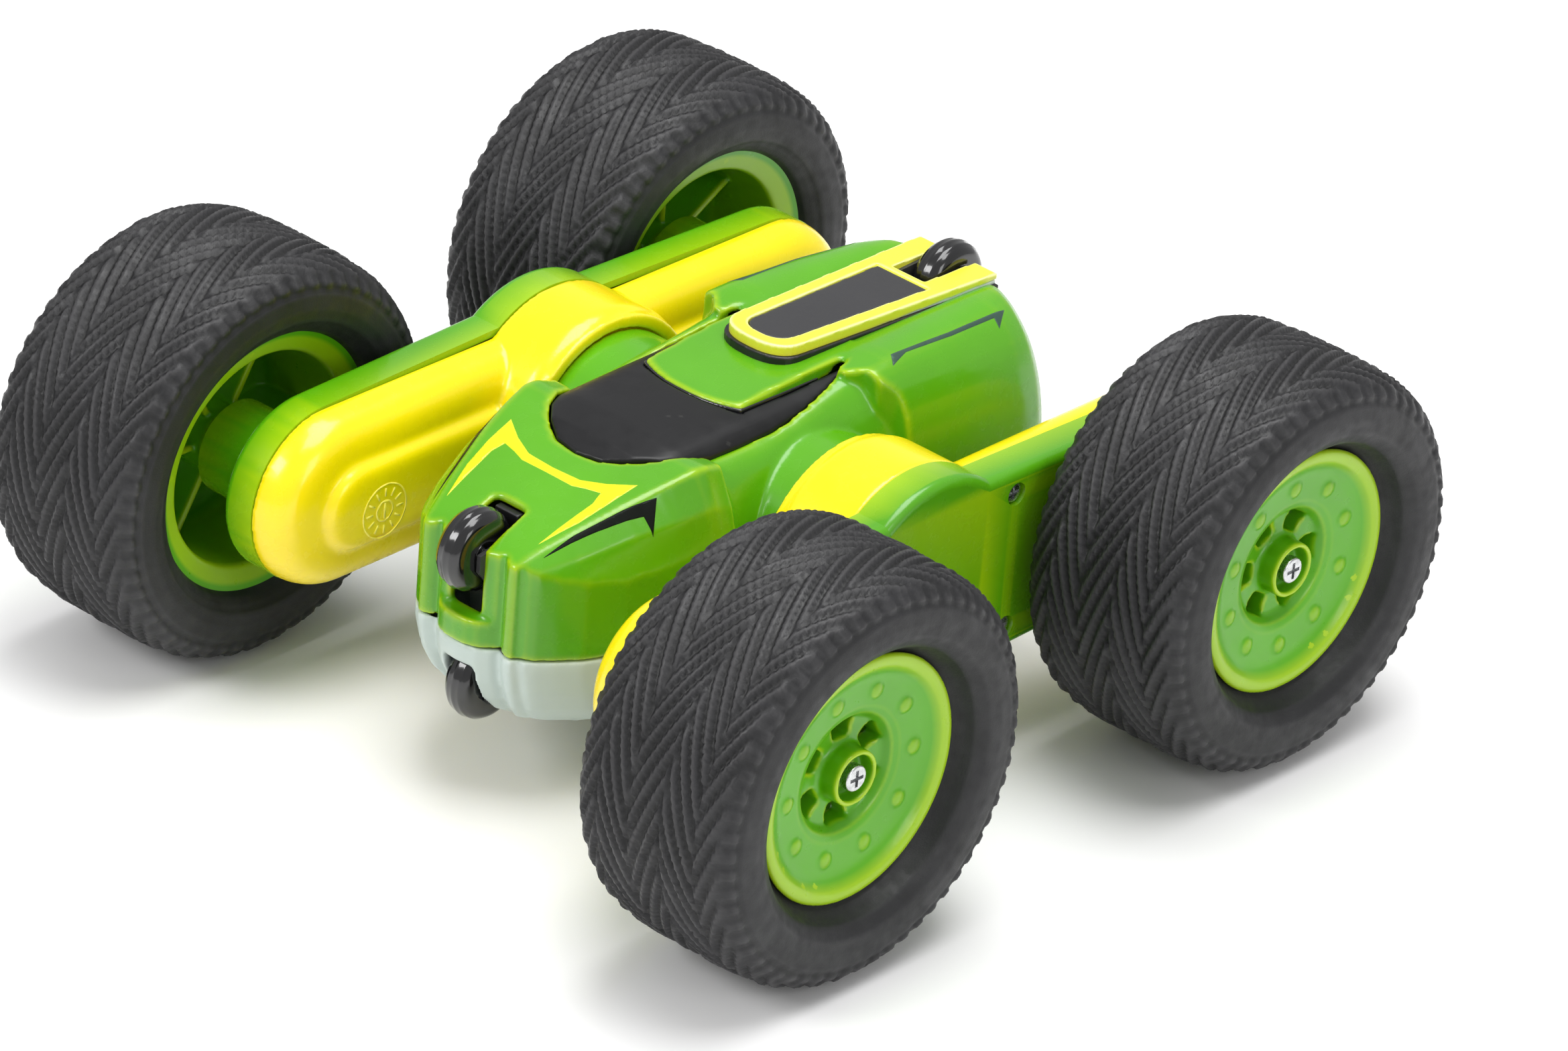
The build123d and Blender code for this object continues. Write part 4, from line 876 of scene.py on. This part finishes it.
def make_rim_mesh():
    rim = turned("rim_form", RIM_SECTION, 144)
    for k in range(WINDOW_COUNT):
        angle = 2 * math.pi * (k + 0.5) / WINDOW_COUNT
        wedge = [(r * math.cos(angle + turn), r * math.sin(angle + turn))
                 for r, turn in ((7.8, -0.30), (12.6, -0.26), (12.6, 0.26), (7.8, 0.30))]
        cut(rim, side_prism("window", wedge, 4.0, 15.0))
    for k in range(BUMP_COUNT):
        angle = 2 * math.pi * k / BUMP_COUNT
        spot = (13.9, BUMP_RING_R * math.cos(angle), BUMP_RING_R * math.sin(angle))
        union(rim, dome("bump", spot, 2.1, 0.9))
    # webs of the inner recess
    for k in range(WINDOW_COUNT):
        angle = 2 * math.pi * k / WINDOW_COUNT
        c, n = math.cos(angle), math.sin(angle)
        web = [(r * c - w * n, r * n + w * c)
               for r, w in ((7.0, -0.8), (24.9, -0.8), (24.9, 0.8), (7.0, 0.8))]
        union(rim, side_prism("web", web, -4.0, 8.0))
    soften(rim, 0.45, 4)
    return rim


rim_form = make_rim_mesh()
for side in SIDES:
    for end in ENDS:
        place_wheel_piece(rim_form.data, f"{side}_{end}_dished_rim", side, end, RIM_LIME,
                          f"{side}_{end}_rim")
bpy.data.objects.remove(rim_form)


# ---------------------------------------------------------------- inner shells of the arms
ARM_SEAM_X = 53.6
DRUM_FACE_X = 36.2
RING_X = box_mm("left_arm_inner_shell")[0][0]
DRUM_R = (box_mm("left_arm_inner_shell")[1][2] - box_mm("left_arm_inner_shell")[0][2]) / 2
LEG_ROOT_H = 22.6
LEG_END_R = 20.7
ARM_WALL = 1.7
# inward steps of the leg's rounded side, as (x, inset from its outline)
LEG_STEPS = [(ARM_SEAM_X, 0.0), (51.0, 0.25), (48.8, 0.9), (47.2, 1.8), (45.9, 3.0), (45.0, 4.3), (44.4, 5.8),
             (44.1, 7.4), (44.0, 9.5)]
RIB_STEPS = [(45.5, 0.0), (43.4, 0.3), (42.3, 0.9), (41.6, 1.8), (41.2, 3.0), (41.1, 4.4)]
MARK_PLACE = (61.5, -2.0)
MARK_R = 6.6


def leg_outline(root, end, reach):
    """Side view of both legs as (y, z) from the pivot: wide at the root, round at both ends."""
    lean = (root - end) / reach
    outline = []
    for side in (1, -1):
        for k in range(25):
            angle = -math.pi / 2 + math.asin(lean) + (math.pi - 2 * math.asin(lean)) * k / 24
            outline.append((side * (reach + end * math.cos(angle)), side * end * math.sin(angle)))
    return outline


def leg_rings(steps, root, end, reach, turn_in=0.0):
    """Outlines of a leg form at each of its steps inwards."""
    rings = []
    for x, inset in steps:
        outline = leg_outline(root - inset - turn_in, end - inset - turn_in, reach)
        rings.append([(x + turn_in * (x < ARM_SEAM_X), y, PIVOT_Z + z) for y, z in outline])
    return rings


def make_arm_shell():
    shell = loft("arm_form", leg_rings(LEG_STEPS, LEG_ROOT_H, LEG_END_R, AXLE_Y))
    union(shell, loft("rib", leg_rings(RIB_STEPS, 11.2, 10.4, AXLE_Y - 1.5)))
    drum = [(DRUM_R, ARM_SEAM_X), (DRUM_R, 38.4), (DRUM_R - 0.4, 37.2), (DRUM_R - 1.3, DRUM_FACE_X + 0.1),
            (DRUM_R - 2.2, DRUM_FACE_X)]
    union(shell, loft("drum", [[(x, y, z) for y, z in disc_outline(r, (0, PIVOT_Z), 96)] for r, x in drum]))
    union(shell, side_prism("ring", disc_outline(DRUM_R - 0.9, (0, PIVOT_Z), 96), RING_X, 40))
    cut(shell, side_prism("ring_room", disc_outline(23.4, (0, PIVOT_Z), 96), 30, DRUM_FACE_X))
    cut(shell, loft("arm_room", leg_rings(LEG_STEPS, LEG_ROOT_H, LEG_END_R, AXLE_Y, ARM_WALL)))
    cut(shell, side_prism("drum_room", disc_outline(DRUM_R - ARM_WALL, (0, PIVOT_Z), 96),
                          DRUM_FACE_X + ARM_WALL, ARM_SEAM_X + 1))
    cut(shell, side_prism("tube_hole", disc_outline(PIVOT_TUBE_R + 0.06, (0, PIVOT_Z), 48), 30, 45))
    return soften(shell, 0.62, 7)


def make_date_mark():
    """Moulded date mark: a raised rim, a centre arrow bar and plain ticks all round."""
    y0, z0 = MARK_PLACE[0], PIVOT_Z + MARK_PLACE[1]
    inner_x, outer_x = 40.94, 41.3

    def rim(radius, width):
        ring = side_prism("rim", disc_outline(radius, (y0, z0), 48), inner_x, outer_x)
        return cut(ring, side_prism("rim_room", disc_outline(radius - width, (y0, z0), 48), 30, 50))

    mark = union(rim(MARK_R, 0.35), rim(2.6, 0.4))
    union(mark, block("bar", (inner_x, y0 - 0.25, z0 - 1.9), (outer_x, y0 + 0.25, z0 + 1.9)))
    for k in range(12):
        angle = 2 * math.pi * k / 12
        c, n = math.cos(angle), math.sin(angle)
        tick = [(y0 + r * c - w * n, z0 + r * n + w * c)
                for r, w in ((3.5, -0.2), (5.5, -0.2), (5.5, 0.2), (3.5, 0.2))]
        union(mark, side_prism("tick", tick, inner_x, outer_x))
    return mark


def place_arm_piece(form, name, material, replaces=()):
    """The right arm is the left one turned half round."""
    for side, turn in (("left", 0), ("right", math.pi)):
        thing = bpy.data.objects.new(f"{side}_{name}", form.data)
        bpy.context.scene.collection.objects.link(thing)
        thing.matrix_world = Matrix.Rotation(turn, 4, "Z")
        finish_piece(thing, thing.name, material, f"{side}_arm", [f"{side}_{n}" for n in replaces])
    bpy.data.objects.remove(form)


place_arm_piece(make_arm_shell(), "arm_soft_shell", ARM_YELLOW, ["arm_inner_shell"])
place_arm_piece(make_date_mark(), "arm_date_mark", ARM_YELLOW)


# ---------------------------------------------------------------- floor, light and camera
def make_floor():
    floor = new_object("floor", [(-3000, -3000, 0), (3000, -3000, 0), (3000, 3000, 0), (-3000, 3000, 0)],
                       [(0, 1, 2, 3)], smooth=False)
    m = Nodes("floor", (0.9, 0.9, 0.9), 0.6)
    m.colour(m.mix(m.noise(3, 2), (0.90, 0.895, 0.89), (0.93, 0.93, 0.93)))
    floor.data.materials.append(m.material)


def area_light(name, place, target, size, power, colour=(1, 1, 1)):
    data = bpy.data.lights.new(name, "AREA")
    data.shape = "RECTANGLE"
    data.size, data.size_y = size
    data.energy = power
    data.color = colour
    lamp = bpy.data.objects.new(name, data)
    bpy.context.scene.collection.objects.link(lamp)
    lamp.location = place
    aim = Vector(target) - Vector(place)
    lamp.rotation_euler = aim.to_track_quat("-Z", "Y").to_euler()


def make_lights():
    world = bpy.data.worlds.new("studio")
    world.use_nodes = True
    background = world.node_tree.nodes["Background"]
    background.inputs["Color"].default_value = (1.0, 1.0, 1.0, 1)
    background.inputs["Strength"].default_value = 0.55
    bpy.context.scene.world = world
    area_light("overhead", (0.1, 0.1, 1.3), (0, 0, 0), (1.1, 0.8), 17)
    area_light("key", (-0.5, -1.3, 1.1), (0, 0, 0.05), (0.7, 0.5), 11)
    area_light("side", (1.5, -0.3, 0.7), (0, 0, 0.05), (0.5, 0.9), 5)


CAMERA_AZIMUTH = math.radians(41.18)
CAMERA_HEIGHT = math.radians(28.72)
CAMERA_ROLL = math.radians(4.64)
CAMERA_DISTANCE = 2.101
CAMERA_TARGET = Vector((0, 0.0216, 0.0303))


def make_camera():
    data = bpy.data.cameras.new("camera")
    data.lens = 220.8
    data.sensor_width = 36
    data.clip_end = 20
    camera = bpy.data.objects.new("camera", data)
    bpy.context.scene.collection.objects.link(camera)
    back = Vector((math.sin(CAMERA_AZIMUTH) * math.cos(CAMERA_HEIGHT),
                   -math.cos(CAMERA_AZIMUTH) * math.cos(CAMERA_HEIGHT), math.sin(CAMERA_HEIGHT)))
    right = Vector((0, 0, 1)).cross(back).normalized()
    up = back.cross(right)
    rolled_right = math.cos(CAMERA_ROLL) * right + math.sin(CAMERA_ROLL) * up
    rolled_up = -math.sin(CAMERA_ROLL) * right + math.cos(CAMERA_ROLL) * up
    axes = Matrix((rolled_right, rolled_up, back)).transposed().to_4x4()
    camera.matrix_world = Matrix.Translation(CAMERA_TARGET + back * CAMERA_DISTANCE) @ axes
    bpy.context.scene.camera = camera


make_floor()
make_lights()
make_camera()
bpy.context.scene.view_settings.view_transform = "Standard"
